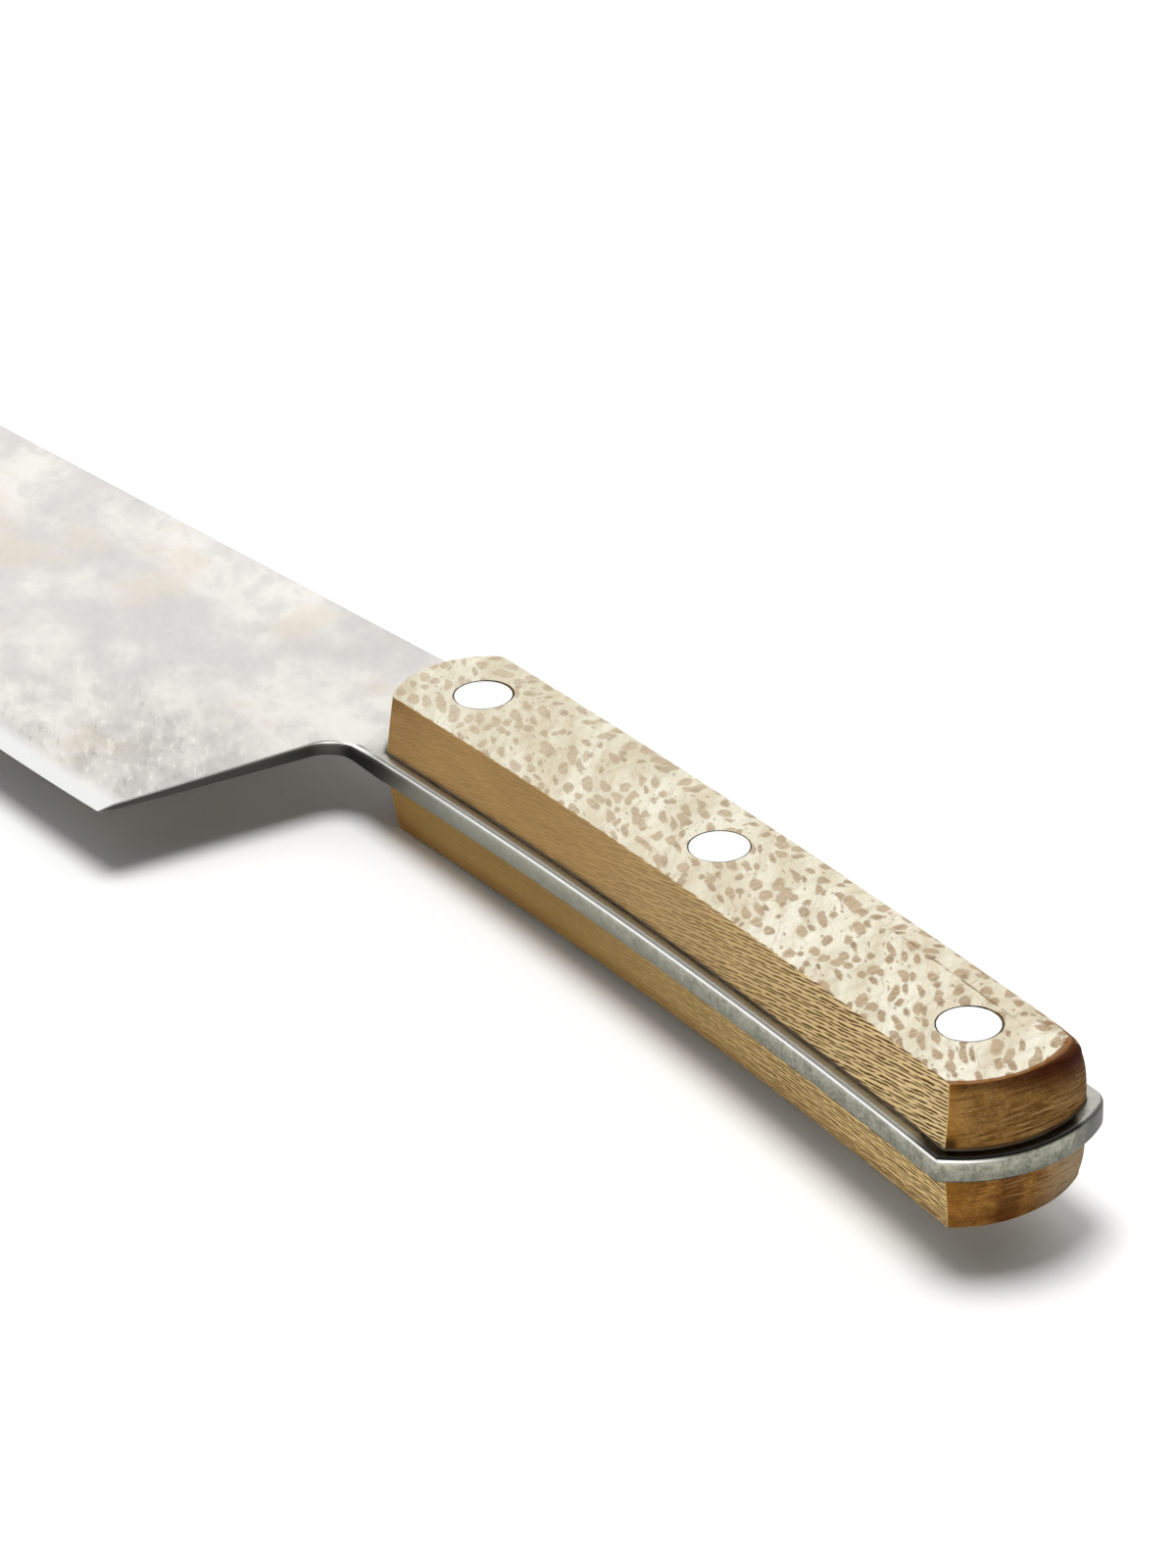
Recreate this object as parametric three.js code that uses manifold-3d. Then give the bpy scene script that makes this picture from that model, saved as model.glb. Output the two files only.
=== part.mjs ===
// A full-tang kitchen knife lying on its side: one steel blade and tang, two wooden scales bedded
// on thin glue films, and three two-piece cutler's rivets that go right through the handle.
import * as THREE from 'three';
import * as BufferGeometryUtils from 'three/addons/utils/BufferGeometryUtils.js';
import Module from 'manifold-3d';

// Blade, in millimetres
const BLADE_LENGTH = 200;           // heel to tip
const BLADE_HEIGHT = 52.6;          // spine to cutting edge at the heel
const SPINE_THICKNESS = 2.9;        // ground spine at the heel
const TIP_THICKNESS = 1.0;          // ground spine at the tip
const BEVEL_WIDTH = 2.2;            // bright ground band along the cutting edge
const BEVEL_THICKNESS = 0.9;        // steel where that band starts
const EDGE_FLAT = 0.2;              // flat left on the cutting edge
const TIP_DROP = 13;                // tip below the straight part of the spine
const TIP_CURVE_LENGTH = 80;        // stretch of spine that falls to the tip
const TIP_RADIUS = 0.5;             // past the eased rim
const BELLY_POWER = 2.1;            // a higher power keeps the edge flat for longer
const HEEL_LEAN = 6.4;              // the heel's back edge leans towards the handle at its top
const CHOIL_RADIUS = 4;
const PLUNGE_LENGTH = 4.8;          // run-out of the grind in front of the wood
const PLUNGE_MARGIN = 0.3;          // full plate between that run-out and the wood
const PLUNGE_SLANT_RATIO = 0.2;     // run-out's slope along the blade for each step across it
const PLUNGE_OVERSHOOT = 0.05;      // how far the run-out rises past the plate's face

// Tang
const TANG_THICKNESS = 3.2;
const TANG_WIDTH = 21;
const TANG_LIP = 1.6;               // steel that stands proud of the wood all round
const RIM_BEVEL = 0.45;             // eased edge of tang and spine
const BEND_RADIUS = 930;            // mid-line of the handle
const BEND_START = 28;              // the bend starts this far ahead of the heel

// Scales and the glue under them
const SCALE_THICKNESS = 7.2;
const HEEL_TO_WOOD = 10.3;          // along the mid-line
const SPINE_SWELL = 0.9;            // spine side at the handle's ends, past its waist
const SIDE_DRAFT = 1.0;             // how far each side leans in
const END_DRAFT = 1.5;              // how far each end leans in
const EDGE_ROUND = 0.4;             // round along the outer face
const FRONT_BULGE = 4.6;            // middle of the front end past its corners
const BUTT_BULGE = 3.2;             // middle of the butt end past its corners
const BELLY_CORNER_RADIUS = 0.5;    // crisp corners on the cutting-edge side
const SPINE_CORNER_RADIUS = 3;      // worn corners on the spine side
const GLUE_THICKNESS = 0.15;
const GLUE_INSET = 0.25;

// Rivets
const RIVET_NAMES = ['front', 'middle', 'rear'];
const RIVET_PITCH = 46.2;
const FRONT_MARGIN = 11.5;          // wood past the centre of the front rivet
const BUTT_MARGIN = 12.4;           // wood past the centre of the rear rivet
const RIVET_OFFSET = 0.6;           // rivet line from the mid-line, towards the spine
const HEAD_DIAMETER = 7;
const HEAD_THICKNESS = 2.4;
const STUD_DIAMETER = 3;
const SLEEVE_WALL = 0.8;
const RIVET_CLEARANCE = 0.15;       // rivet to wood, glue and tang, on the radius
const STUD_CLEARANCE = 0.1;         // stud to sleeve, on the radius
const STUD_END_GAP = 0.3;           // stud and sleeve stop short of each other's heads

// How finely round stretches are drawn
const ROUND_STEPS = 32;
const CORNER_STEPS = 8;
const END_STEPS = 12;
const SIDE_STEPS = 20;
const BLADE_STEPS = 24;
const EDGE_STEPS = 3;
const CORNER_SHARE = 0.9;           // most of a neighbouring stretch that a rounded corner takes
const TIP_LEAD_RATIO = 6;           // tip radii before the tip where its round may begin

// A cutter runs past the faces that it opens by this much
const OVERRUN = 1;

// Sizes that follow from the ones above
const WOOD_LENGTH = FRONT_MARGIN + (RIVET_NAMES.length - 1) * RIVET_PITCH + BUTT_MARGIN;
const WOOD_START = BEND_START + HEEL_TO_WOOD;
const WOOD_END = WOOD_START + WOOD_LENGTH;
const WOOD_HALF_WIDTH = TANG_WIDTH / 2 - TANG_LIP;
const FRONT_RADIUS = arcRadius(WOOD_HALF_WIDTH, FRONT_BULGE);
const BUTT_RADIUS = arcRadius(WOOD_HALF_WIDTH, BUTT_BULGE);
const SLEEVE_DIAMETER = STUD_DIAMETER + 2 * (STUD_CLEARANCE + SLEEVE_WALL);

// Levels from the face that the knife lies on
const LOWER_FOOT = SCALE_THICKNESS;
const TANG_BOTTOM = LOWER_FOOT + GLUE_THICKNESS;
const TANG_TOP = TANG_BOTTOM + TANG_THICKNESS;
const UPPER_FOOT = TANG_TOP + GLUE_THICKNESS;
const TOP_FACE = UPPER_FOOT + SCALE_THICKNESS;
const MID_LEVEL = TOP_FACE / 2;

const wasm = await Module();
wasm.setup();

const steel = new THREE.MeshStandardMaterial({ color: 0xc9c8c4, metalness: 1, roughness: 0.35 });
const wood = new THREE.MeshStandardMaterial({ color: 0xd8c3a0, metalness: 0, roughness: 0.6 });
const rivetMetal = new THREE.MeshStandardMaterial({ color: 0xe6e6e4, metalness: 1, roughness: 0.3 });
const glue = new THREE.MeshStandardMaterial({ color: 0x3a2c1e, metalness: 0, roughness: 0.5 });

// Radius of the arc through two corners and the middle of an end
function arcRadius(halfWidth, bulge) {
  return (halfWidth ** 2 + bulge ** 2) / (2 * bulge);
}

// A place on the handle, x along its mid-line from the start of the bend and y across it towards the
// spine, put into the plan. Plan x runs from the heel towards the butt, and y from the spine line up.
function bent(place) {
  const angle = place.x / BEND_RADIUS;
  const reach = (2 * (place.x - WOOD_START)) / WOOD_LENGTH - 1;
  const swell = SPINE_SWELL * reach ** 2 * (Math.max(place.y, 0) / (TANG_WIDTH / 2));
  const radius = BEND_RADIUS + place.y + swell;
  return new THREE.Vector2(
    radius * Math.sin(angle) - BEND_START,
    radius * Math.cos(angle) - BEND_RADIUS - TANG_WIDTH / 2,
  );
}

// Places between two ends of a straight side of the handle, without the ends
function sidePlaces(from, to, across) {
  const places = [];
  for (let i = 1; i < SIDE_STEPS; i++) {
    places.push(new THREE.Vector2(THREE.MathUtils.lerp(from, to, i / SIDE_STEPS), across));
  }
  return places;
}

// Places round an end of the handle from its cutting-edge side to its spine side, without its corners
function endPlaces(tip, outwards, radius, halfWidth) {
  const reach = Math.asin(halfWidth / radius);
  const places = [];
  for (let i = 1; i < END_STEPS; i++) {
    const angle = reach * ((2 * i) / END_STEPS - 1);
    const setBack = radius * (1 - Math.cos(angle));
    places.push(new THREE.Vector2(tip - outwards * setBack, radius * Math.sin(angle)));
  }
  return places;
}

// How far the corners of a round end lie behind its middle
function endSetBack(radius, halfWidth) {
  return radius - Math.sqrt(radius ** 2 - halfWidth ** 2);
}

// Arc in place of an outline's corner, short enough to leave its two neighbours where they are
function roundedCorner(before, corner, after, radius) {
  const back = before.clone().sub(corner);
  const onward = after.clone().sub(corner);
  const halfAngle = back.angleTo(onward) / 2;
  const room = CORNER_SHARE * Math.min(back.length(), onward.length());
  const reach = Math.min(radius / Math.tan(halfAngle), room);
  const middle = back.normalize().clone().add(onward.normalize()).normalize();
  const centre = corner.clone().addScaledVector(middle, reach / Math.cos(halfAngle));
  const start = corner.clone().addScaledVector(back, reach);
  const turn = Math.sign(back.cross(onward)) * (2 * halfAngle - Math.PI);
  const points = [];
  for (let i = 0; i <= CORNER_STEPS; i++) {
    points.push(start.clone().rotateAround(centre, (turn * i) / CORNER_STEPS));
  }
  return points;
}

// Outline of a scale, drawn in from its foot by the given amounts, turning anticlockwise
function scaleOutline(sideInset, endInset) {
  const halfWidth = WOOD_HALF_WIDTH - sideInset;
  const front = WOOD_START + endInset;
  const butt = WOOD_END - endInset;
  const sideStart = front + endSetBack(FRONT_RADIUS, halfWidth);
  const sideEnd = butt - endSetBack(BUTT_RADIUS, halfWidth);
  const belly = sidePlaces(sideStart, sideEnd, -halfWidth);
  const buttEnd = endPlaces(butt, 1, BUTT_RADIUS, halfWidth);
  const spine = sidePlaces(sideEnd, sideStart, halfWidth);
  const frontEnd = endPlaces(front, -1, FRONT_RADIUS, halfWidth).reverse();
  const corner = (along, across, before, after, radius) =>
    roundedCorner(before, new THREE.Vector2(along, across), after, radius);
  return [
    ...belly,
    ...corner(sideEnd, -halfWidth, belly.at(-1), buttEnd[0], BELLY_CORNER_RADIUS),
    ...buttEnd,
    ...corner(sideEnd, halfWidth, buttEnd.at(-1), spine[0], SPINE_CORNER_RADIUS),
    ...spine,
    ...corner(sideStart, halfWidth, spine.at(-1), frontEnd[0], SPINE_CORNER_RADIUS),
    ...frontEnd,
    ...corner(sideStart, -halfWidth, frontEnd.at(-1), belly[0], BELLY_CORNER_RADIUS),
  ].map(bent);
}

// Share of the blade's length ahead of the heel, from 0 at the heel to 1 at the tip
function bladeShare(x) {
  return THREE.MathUtils.clamp(-x / BLADE_LENGTH, 0, 1);
}

function edgeLine(x) {
  return -BLADE_HEIGHT + (BLADE_HEIGHT - TIP_DROP) * bladeShare(x) ** BELLY_POWER;
}

function spineLine(x) {
  const fall = THREE.MathUtils.clamp((-x - BLADE_LENGTH + TIP_CURVE_LENGTH) / TIP_CURVE_LENGTH, 0, 1);
  return -TIP_DROP * fall ** 2;
}

// Outline of the tang from the choil round the butt to where the spine turns straight
function tangOutline(from) {
  const halfWidth = TANG_WIDTH / 2;
  const butt = WOOD_END + TANG_LIP;
  const buttRadius = BUTT_RADIUS + TANG_LIP;
  const sideEnd = butt - endSetBack(buttRadius, halfWidth);
  const belly = sidePlaces(from, sideEnd, -halfWidth);
  const buttEnd = endPlaces(butt, 1, buttRadius, halfWidth);
  const spine = sidePlaces(sideEnd, WOOD_START, halfWidth);
  const bellyCorner = new THREE.Vector2(sideEnd, -halfWidth);
  const spineCorner = new THREE.Vector2(sideEnd, halfWidth);
  return [
    ...belly,
    ...roundedCorner(belly.at(-1), bellyCorner, buttEnd[0], BELLY_CORNER_RADIUS + RIM_BEVEL),
    ...buttEnd,
    ...roundedCorner(buttEnd.at(-1), spineCorner, spine[0], SPINE_CORNER_RADIUS + TANG_LIP),
    ...spine,
  ].map(bent);
}

// Outline of blade and tang together, turning anticlockwise from the tip along the cutting edge
function steelOutline() {
  const tip = new THREE.Vector2(-BLADE_LENGTH, -TIP_DROP);
  const tipSide = TIP_LEAD_RATIO * (TIP_RADIUS + RIM_BEVEL) - BLADE_LENGTH;
  const spineAtTip = new THREE.Vector2(tipSide, spineLine(tipSide));
  const edgeAtTip = new THREE.Vector2(tipSide, edgeLine(tipSide));
  const heel = new THREE.Vector2(0, -BLADE_HEIGHT);
  const choilAlong = BEND_START + HEEL_LEAN;
  const tangFrom = choilAlong + 2 * CHOIL_RADIUS;
  const onTang = (along) => bent(new THREE.Vector2(along, -TANG_WIDTH / 2));
  const edge = [];
  const spine = [];
  for (let i = 0; i < BLADE_STEPS; i++) {
    const edgeX = tipSide * (1 - i / BLADE_STEPS);
    const spineX = (tipSide * (i + 1)) / BLADE_STEPS;
    edge.push(new THREE.Vector2(edgeX, edgeLine(edgeX)));
    spine.push(new THREE.Vector2(spineX, spineLine(spineX)));
  }
  return [
    ...roundedCorner(spineAtTip, tip, edgeAtTip, TIP_RADIUS + RIM_BEVEL),
    ...edge,
    heel,
    ...roundedCorner(heel, onTang(choilAlong), onTang(tangFrom), CHOIL_RADIUS),
    ...tangOutline(tangFrom),
    ...spine,
  ];
}

// Closed surface through rings of points that turn anticlockwise seen from the last ring
function loft(rings) {
  const count = rings[0].length;
  const position = rings.flat();
  const index = [];
  rings.slice(1).forEach((ring, level) => {
    for (let i = 0; i < count; i++) {
      const low = level * count;
      const next = (i + 1) % count;
      index.push(low + i, low + next, low + count + next);
      index.push(low + i, low + count + next, low + count + i);
    }
  });
  const addCap = (ring, first, facesOnward) => {
    const hub = position.length;
    const sum = ring.reduce((total, point) => total.add(point), new THREE.Vector3());
    position.push(sum.divideScalar(count));
    for (let i = 0; i < count; i++) {
      const next = (i + 1) % count;
      index.push(hub, first + (facesOnward ? i : next), first + (facesOnward ? next : i));
    }
  };
  addCap(rings[0], 0, false);
  addCap(rings.at(-1), (rings.length - 1) * count, true);
  const geometry = new THREE.BufferGeometry().setFromPoints(position);
  geometry.setIndex(index);
  return geometry;
}

function ringAt(outline, level) {
  return outline.map((point) => new THREE.Vector3(point.x, point.y, level));
}

// Solid for cutting and joining, with the flat triangles at a lathe's axis left out
function solidOf(geometry) {
  const bare = geometry.clone();
  bare.deleteAttribute('normal');
  bare.deleteAttribute('uv');
  const merged = BufferGeometryUtils.mergeVertices(bare);
  const corners = merged.index.array;
  const triangles = [];
  for (let i = 0; i < corners.length; i += 3) {
    const [a, b, c] = corners.slice(i, i + 3);
    if (a !== b && b !== c && c !== a) triangles.push(a, b, c);
  }
  return new wasm.Manifold(new wasm.Mesh({
    numProp: 3,
    vertProperties: merged.attributes.position.array,
    triVerts: new Uint32Array(triangles),
  }));
}

function pieceOf(name, solid, material) {
  const { vertProperties, triVerts } = solid.getMesh();
  const geometry = new THREE.BufferGeometry();
  geometry.setAttribute('position', new THREE.BufferAttribute(vertProperties, 3));
  geometry.setIndex(new THREE.BufferAttribute(triVerts, 1));
  geometry.computeVertexNormals();
  const mesh = new THREE.Mesh(geometry, material);
  mesh.name = name;
  return mesh;
}

// Turned solid on a rivet's axis, from a profile of radius and level pairs
function turned(profile, centre) {
  const points = profile.map(([radius, level]) => new THREE.Vector2(radius, level));
  const geometry = new THREE.LatheGeometry(points, ROUND_STEPS);
  geometry.rotateX(Math.PI / 2);
  geometry.translate(centre.x, centre.y, 0);
  return solidOf(geometry);
}

function rivetCentre(number) {
  return bent(new THREE.Vector2(WOOD_START + FRONT_MARGIN + number * RIVET_PITCH, RIVET_OFFSET));
}

function cutRivetHoles(solid, profile) {
  const cutters = RIVET_NAMES.map((_, number) => turned(profile, rivetCentre(number)));
  return cutters.reduce((rest, cutter) => rest.subtract(cutter), solid);
}

// Straight hole for the sleeves through everything between the two rivet heads
function shankHole() {
  const radius = SLEEVE_DIAMETER / 2 + RIVET_CLEARANCE;
  return [[0, -OVERRUN], [radius, -OVERRUN], [radius, TOP_FACE + OVERRUN], [0, TOP_FACE + OVERRUN]];
}

// Counterbore for the heads on one outer face, between its floor and the air outside
function headHole(low, high) {
  const radius = HEAD_DIAMETER / 2 + RIVET_CLEARANCE;
  return [[0, low], [radius, low], [radius, high], [0, high]];
}

// Rings of a scale from its foot outwards: a leaning side, then a small round to the flat face
function scaleRings(foot, outwards) {
  const rings = [ringAt(scaleOutline(0, 0), foot)];
  const sideHeight = SCALE_THICKNESS - EDGE_ROUND;
  const share = sideHeight / SCALE_THICKNESS;
  for (let i = 0; i <= EDGE_STEPS; i++) {
    const angle = (Math.PI / 2) * (i / EDGE_STEPS);
    const inset = EDGE_ROUND * (1 - Math.cos(angle));
    const height = i === EDGE_STEPS ? SCALE_THICKNESS : sideHeight + EDGE_ROUND * Math.sin(angle);
    const outline = scaleOutline(SIDE_DRAFT * share + inset, END_DRAFT * share + inset);
    rings.push(ringAt(outline, foot + outwards * height));
  }
  return outwards > 0 ? rings : rings.reverse();
}

function makeScale(name, foot, outwards, headLow, headHigh) {
  const body = solidOf(loft(scaleRings(foot, outwards)));
  const drilled = cutRivetHoles(body, shankHole());
  return pieceOf(name, cutRivetHoles(drilled, headHole(headLow, headHigh)), wood);
}

function makeGlueFilm(name, bottom) {
  const outline = scaleOutline(GLUE_INSET, GLUE_INSET);
  const film = solidOf(loft([ringAt(outline, bottom), ringAt(outline, bottom + GLUE_THICKNESS)]));
  return pieceOf(name, cutRivetHoles(film, shankHole()), glue);
}

// Section of the ground blade, placed at a station and shaped as the blade is at a place along it
function bladeSection(station, x, slant = 0) {
  const spine = spineLine(x);
  const edge = Math.min(edgeLine(x), spine - 2 * BEVEL_WIDTH);
  const shoulder = edge + BEVEL_WIDTH;
  const spineHalf = THREE.MathUtils.lerp(SPINE_THICKNESS, TIP_THICKNESS, bladeShare(x)) / 2;
  const bevelHalf = Math.min(BEVEL_THICKNESS / 2, spineHalf);
  const rise = (spineHalf - bevelHalf) / (spine - shoulder);
  const profile = [
    [spine + OVERRUN, spineHalf + rise * OVERRUN],
    [shoulder, bevelHalf],
    [edge, EDGE_FLAT / 2],
    [edge - OVERRUN, EDGE_FLAT / 2],
  ];
  return sectionRing(station, profile, slant);
}

// Section that is wider and deeper than the tang, so that it cuts nothing there
function tangSection(station, slant = 0) {
  const half = TANG_THICKNESS / 2 + PLUNGE_OVERSHOOT;
  const low = -BLADE_HEIGHT - OVERRUN;
  const shares = [0, 1 / 3, 2 / 3, 1];
  const profile = shares.map((share) => [THREE.MathUtils.lerp(OVERRUN, low, share), half]);
  return sectionRing(station, profile, slant);
}

// Ring of points from the upper half of a section, mirrored about the middle of the steel. A slant
// turns the section about the handle's mid-line.
function sectionRing(station, profile, slant) {
  const place = (y, level) => new THREE.Vector3(station - slant * (y + TANG_WIDTH / 2), y, level);
  const upper = profile.map(([y, half]) => place(y, MID_LEVEL + half));
  const lower = profile.map(([y, half]) => place(y, MID_LEVEL - half));
  return [...upper, ...lower.reverse()];
}

// What grinding leaves: a wedge along the blade, and the full plate from the plunge back to the butt
function groundSpace() {
  const rings = [bladeSection(-BLADE_LENGTH - OVERRUN, -BLADE_LENGTH)];
  for (let i = 0; i <= BLADE_STEPS; i++) {
    const x = -BLADE_LENGTH * (1 - i / BLADE_STEPS);
    rings.push(bladeSection(x, x));
  }
  const plungeEnd = HEEL_TO_WOOD - PLUNGE_MARGIN;
  rings.push(bladeSection(plungeEnd - PLUNGE_LENGTH, 0, PLUNGE_SLANT_RATIO));
  rings.push(tangSection(plungeEnd, PLUNGE_SLANT_RATIO));
  rings.push(tangSection(WOOD_END + TANG_LIP + OVERRUN));
  return solidOf(loft(rings));
}

function makeBlade() {
  const plate = new THREE.ExtrudeGeometry(new THREE.Shape(steelOutline()), {
    depth: TANG_THICKNESS - 2 * RIM_BEVEL,
    bevelSize: RIM_BEVEL,
    bevelOffset: -RIM_BEVEL,
    bevelThickness: RIM_BEVEL,
    bevelSegments: EDGE_STEPS,
  });
  plate.translate(0, 0, TANG_BOTTOM + RIM_BEVEL);
  const ground = solidOf(plate).intersect(groundSpace());
  return pieceOf('blade', cutRivetHoles(ground, shankHole()), steel);
}

// Lower half of a rivet: a flush head with a tube that takes the stud
function makeSleeve(name, centre) {
  const bore = STUD_DIAMETER / 2 + STUD_CLEARANCE;
  const end = TOP_FACE - HEAD_THICKNESS - STUD_END_GAP;
  const profile = [
    [0, 0],
    [HEAD_DIAMETER / 2, 0],
    [HEAD_DIAMETER / 2, HEAD_THICKNESS],
    [SLEEVE_DIAMETER / 2, HEAD_THICKNESS],
    [SLEEVE_DIAMETER / 2, end],
    [bore, end],
    [bore, HEAD_THICKNESS],
    [0, HEAD_THICKNESS],
  ];
  return pieceOf(`${name}_rivet_sleeve`, turned(profile, centre), rivetMetal);
}

// Upper half of a rivet: a flush head with the stud that is driven into the sleeve
function makeStud(name, centre) {
  const underHead = TOP_FACE - HEAD_THICKNESS;
  const end = HEAD_THICKNESS + STUD_END_GAP;
  const profile = [
    [0, end],
    [STUD_DIAMETER / 2, end],
    [STUD_DIAMETER / 2, underHead],
    [HEAD_DIAMETER / 2, underHead],
    [HEAD_DIAMETER / 2, TOP_FACE],
    [0, TOP_FACE],
  ];
  return pieceOf(`${name}_rivet_stud`, turned(profile, centre), rivetMetal);
}

const knife = new THREE.Group();
knife.add(makeBlade());
knife.add(makeScale('lower_scale', LOWER_FOOT, -1, -OVERRUN, HEAD_THICKNESS));
knife.add(makeScale('upper_scale', UPPER_FOOT, 1, TOP_FACE - HEAD_THICKNESS, TOP_FACE + OVERRUN));
knife.add(makeGlueFilm('lower_glue_film', LOWER_FOOT));
knife.add(makeGlueFilm('upper_glue_film', TANG_TOP));
RIVET_NAMES.forEach((name, number) => {
  knife.add(makeSleeve(name, rivetCentre(number)));
  knife.add(makeStud(name, rivetCentre(number)));
});

// The origin is the middle of the face that the knife lies on
const box = new THREE.Box3().setFromObject(knife);
const middle = box.getCenter(new THREE.Vector3());
knife.position.set(-middle.x, -middle.y, -box.min.z);

const part = new THREE.Group();
part.add(knife);

export default part;
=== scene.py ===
# A full-tang kitchen knife lying on its side: mottled ground steel, lace-figured wooden scales,
# dark glue lines and flush rivets.
import math
from types import SimpleNamespace

import bmesh
import bpy
from mathutils import Matrix, Vector, noise
from mathutils.geometry import delaunay_2d_cdt
from mathutils.kdtree import KDTree


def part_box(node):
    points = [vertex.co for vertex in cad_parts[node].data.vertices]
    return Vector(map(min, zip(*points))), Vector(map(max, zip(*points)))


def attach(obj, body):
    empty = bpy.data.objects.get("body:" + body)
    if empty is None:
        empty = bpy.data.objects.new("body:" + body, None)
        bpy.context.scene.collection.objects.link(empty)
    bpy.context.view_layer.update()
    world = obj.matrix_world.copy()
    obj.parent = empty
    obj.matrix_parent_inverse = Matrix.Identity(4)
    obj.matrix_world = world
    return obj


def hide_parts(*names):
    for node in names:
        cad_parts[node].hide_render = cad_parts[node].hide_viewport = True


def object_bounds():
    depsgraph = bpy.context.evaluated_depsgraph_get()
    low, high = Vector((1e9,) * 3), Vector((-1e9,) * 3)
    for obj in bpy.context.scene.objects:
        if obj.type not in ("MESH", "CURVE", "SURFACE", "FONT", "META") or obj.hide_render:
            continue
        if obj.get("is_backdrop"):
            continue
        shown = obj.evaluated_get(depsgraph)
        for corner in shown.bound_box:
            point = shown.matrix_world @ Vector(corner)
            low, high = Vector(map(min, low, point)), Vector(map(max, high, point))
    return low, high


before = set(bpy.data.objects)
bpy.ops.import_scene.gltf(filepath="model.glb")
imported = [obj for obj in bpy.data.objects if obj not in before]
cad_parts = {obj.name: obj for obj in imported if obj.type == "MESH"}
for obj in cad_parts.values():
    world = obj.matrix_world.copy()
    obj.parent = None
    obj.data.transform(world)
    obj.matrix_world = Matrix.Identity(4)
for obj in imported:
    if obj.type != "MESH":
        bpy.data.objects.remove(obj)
cad_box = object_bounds()

# Lengths below are in millimetres unless they say otherwise
MM = 0.001

# Ground blade
BLADE_LENGTH = 200
BLADE_HEIGHT = 52.6
SPINE_THICKNESS = 2.9
TIP_THICKNESS = 1.0
BEVEL_WIDTH = 2.2
BEVEL_THICKNESS = 0.9
EDGE_FLAT = 0.1
TIP_DROP = 13
TIP_CURVE_LENGTH = 80
TIP_RADIUS = 0.8
TIP_LEAD = 7 * TIP_RADIUS
BELLY_POWER = 2.1
HEEL_LEAN = 6.4
HEEL_RADIUS = 0.25
CHOIL_RADIUS = 4
PLUNGE_START = 5.2
PLUNGE_LENGTH = 4.8
PLUNGE_SLANT = 0.2

# How far the rims of the steel are eased
EDGE_RIM = 0.03
HEEL_RIM = 0.15
CHOIL_RIM = 0.3
TANG_RIM = 0.55
SPINE_RIM = 0.4
RIM_SHARE = 0.7

# Tang and the bend of the handle
TANG_WIDTH = 21
TANG_LIP = 1.6
BEND_RADIUS = 930
BEND_START = 28
SPINE_SWELL = 0.9

# Scales
HEEL_TO_WOOD = 10.3
FRONT_MARGIN = 11.5
BUTT_MARGIN = 12.4
RIVET_PITCH = 46.2
RIVET_OFFSET = 0.6
SIDE_DRAFT = 1.0
END_DRAFT = 1.5
FRONT_BULGE = 4.6
BUTT_BULGE = 3.2
BELLY_CORNER = 0.5
SPINE_CORNER = 1.9
BUTT_CORNER = 2.3
TANG_BELLY_CORNER = 0.6
TANG_SPINE_CORNER = 3.0
BELLY_WEAR = 0.22
SPINE_WEAR = 0.45
CORNER_WEAR = 1.3
WEAR_CHANGE = 0.08
WEAR_REACH = 3.6
WEAR_WAVE_ALONG = 0.22
WEAR_WAVE_ACROSS = 0.3
WEAR_SEED = 4.0
SPINE_WEAR_START = 4
SPINE_WEAR_FULL = 8
LATE_TURN = 2
LATE_TURN_FULL = 7
HEAD_GAP = 0.12
SHANK_GAP = 0.15
SUPPORT = 0.35
SUPPORT_CLEAR = 0.8 * SUPPORT

# Glue that was squeezed out of the joint
GLUE_LEAST = 0.04
GLUE_MOST = 0.22
GLUE_CLIMB = 0.12
GLUE_STAND_OFF = 0.01
GLUE_MIDDLE = 0.4
GLUE_WAVE = 0.25
GLUE_WAVE_SHARE = 0.5
GLUE_RIPPLE = 1.3
GLUE_RIPPLE_SHARE = 0.45
GLUE_RIPPLE_SEED = 9

# Figure of the wood, which the seed keeps apart on the two scales
UPPER_SEED = 17.3
FLECK_PITCH = 2.4
FLECK_ROW = 2.3
FLECK_LEAN = 0.9
FLECK_UPRIGHT = 4.6
FLECK_PUSH_ALONG = 6
FLECK_PUSH_ACROSS = 3
FLECK_CELLS = {"voronoi_dimensions": "2D", "feature": "SMOOTH_F1", "distance": "MINKOWSKI"}
DASH_PITCH = 4.4
DASH_ROW = 0.42
DASH_RISE = 0.16
DASH_WAVER = 0.7
DASH_STAGGER = 0.5
DASH_STRAY = 0.45
GRAIN_LINE_ACROSS = 5.2
GRAIN_LINE_START = 118.0
GRAIN_LINE_END = 146.0

# Rivets
HEAD_HEIGHT = 2.4
RIM_ROUND = 0.08
STUD_RADIUS = 1.5
BORE_RADIUS = 1.6
SLEEVE_RADIUS = 2.4
END_GAP = 0.3

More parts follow.
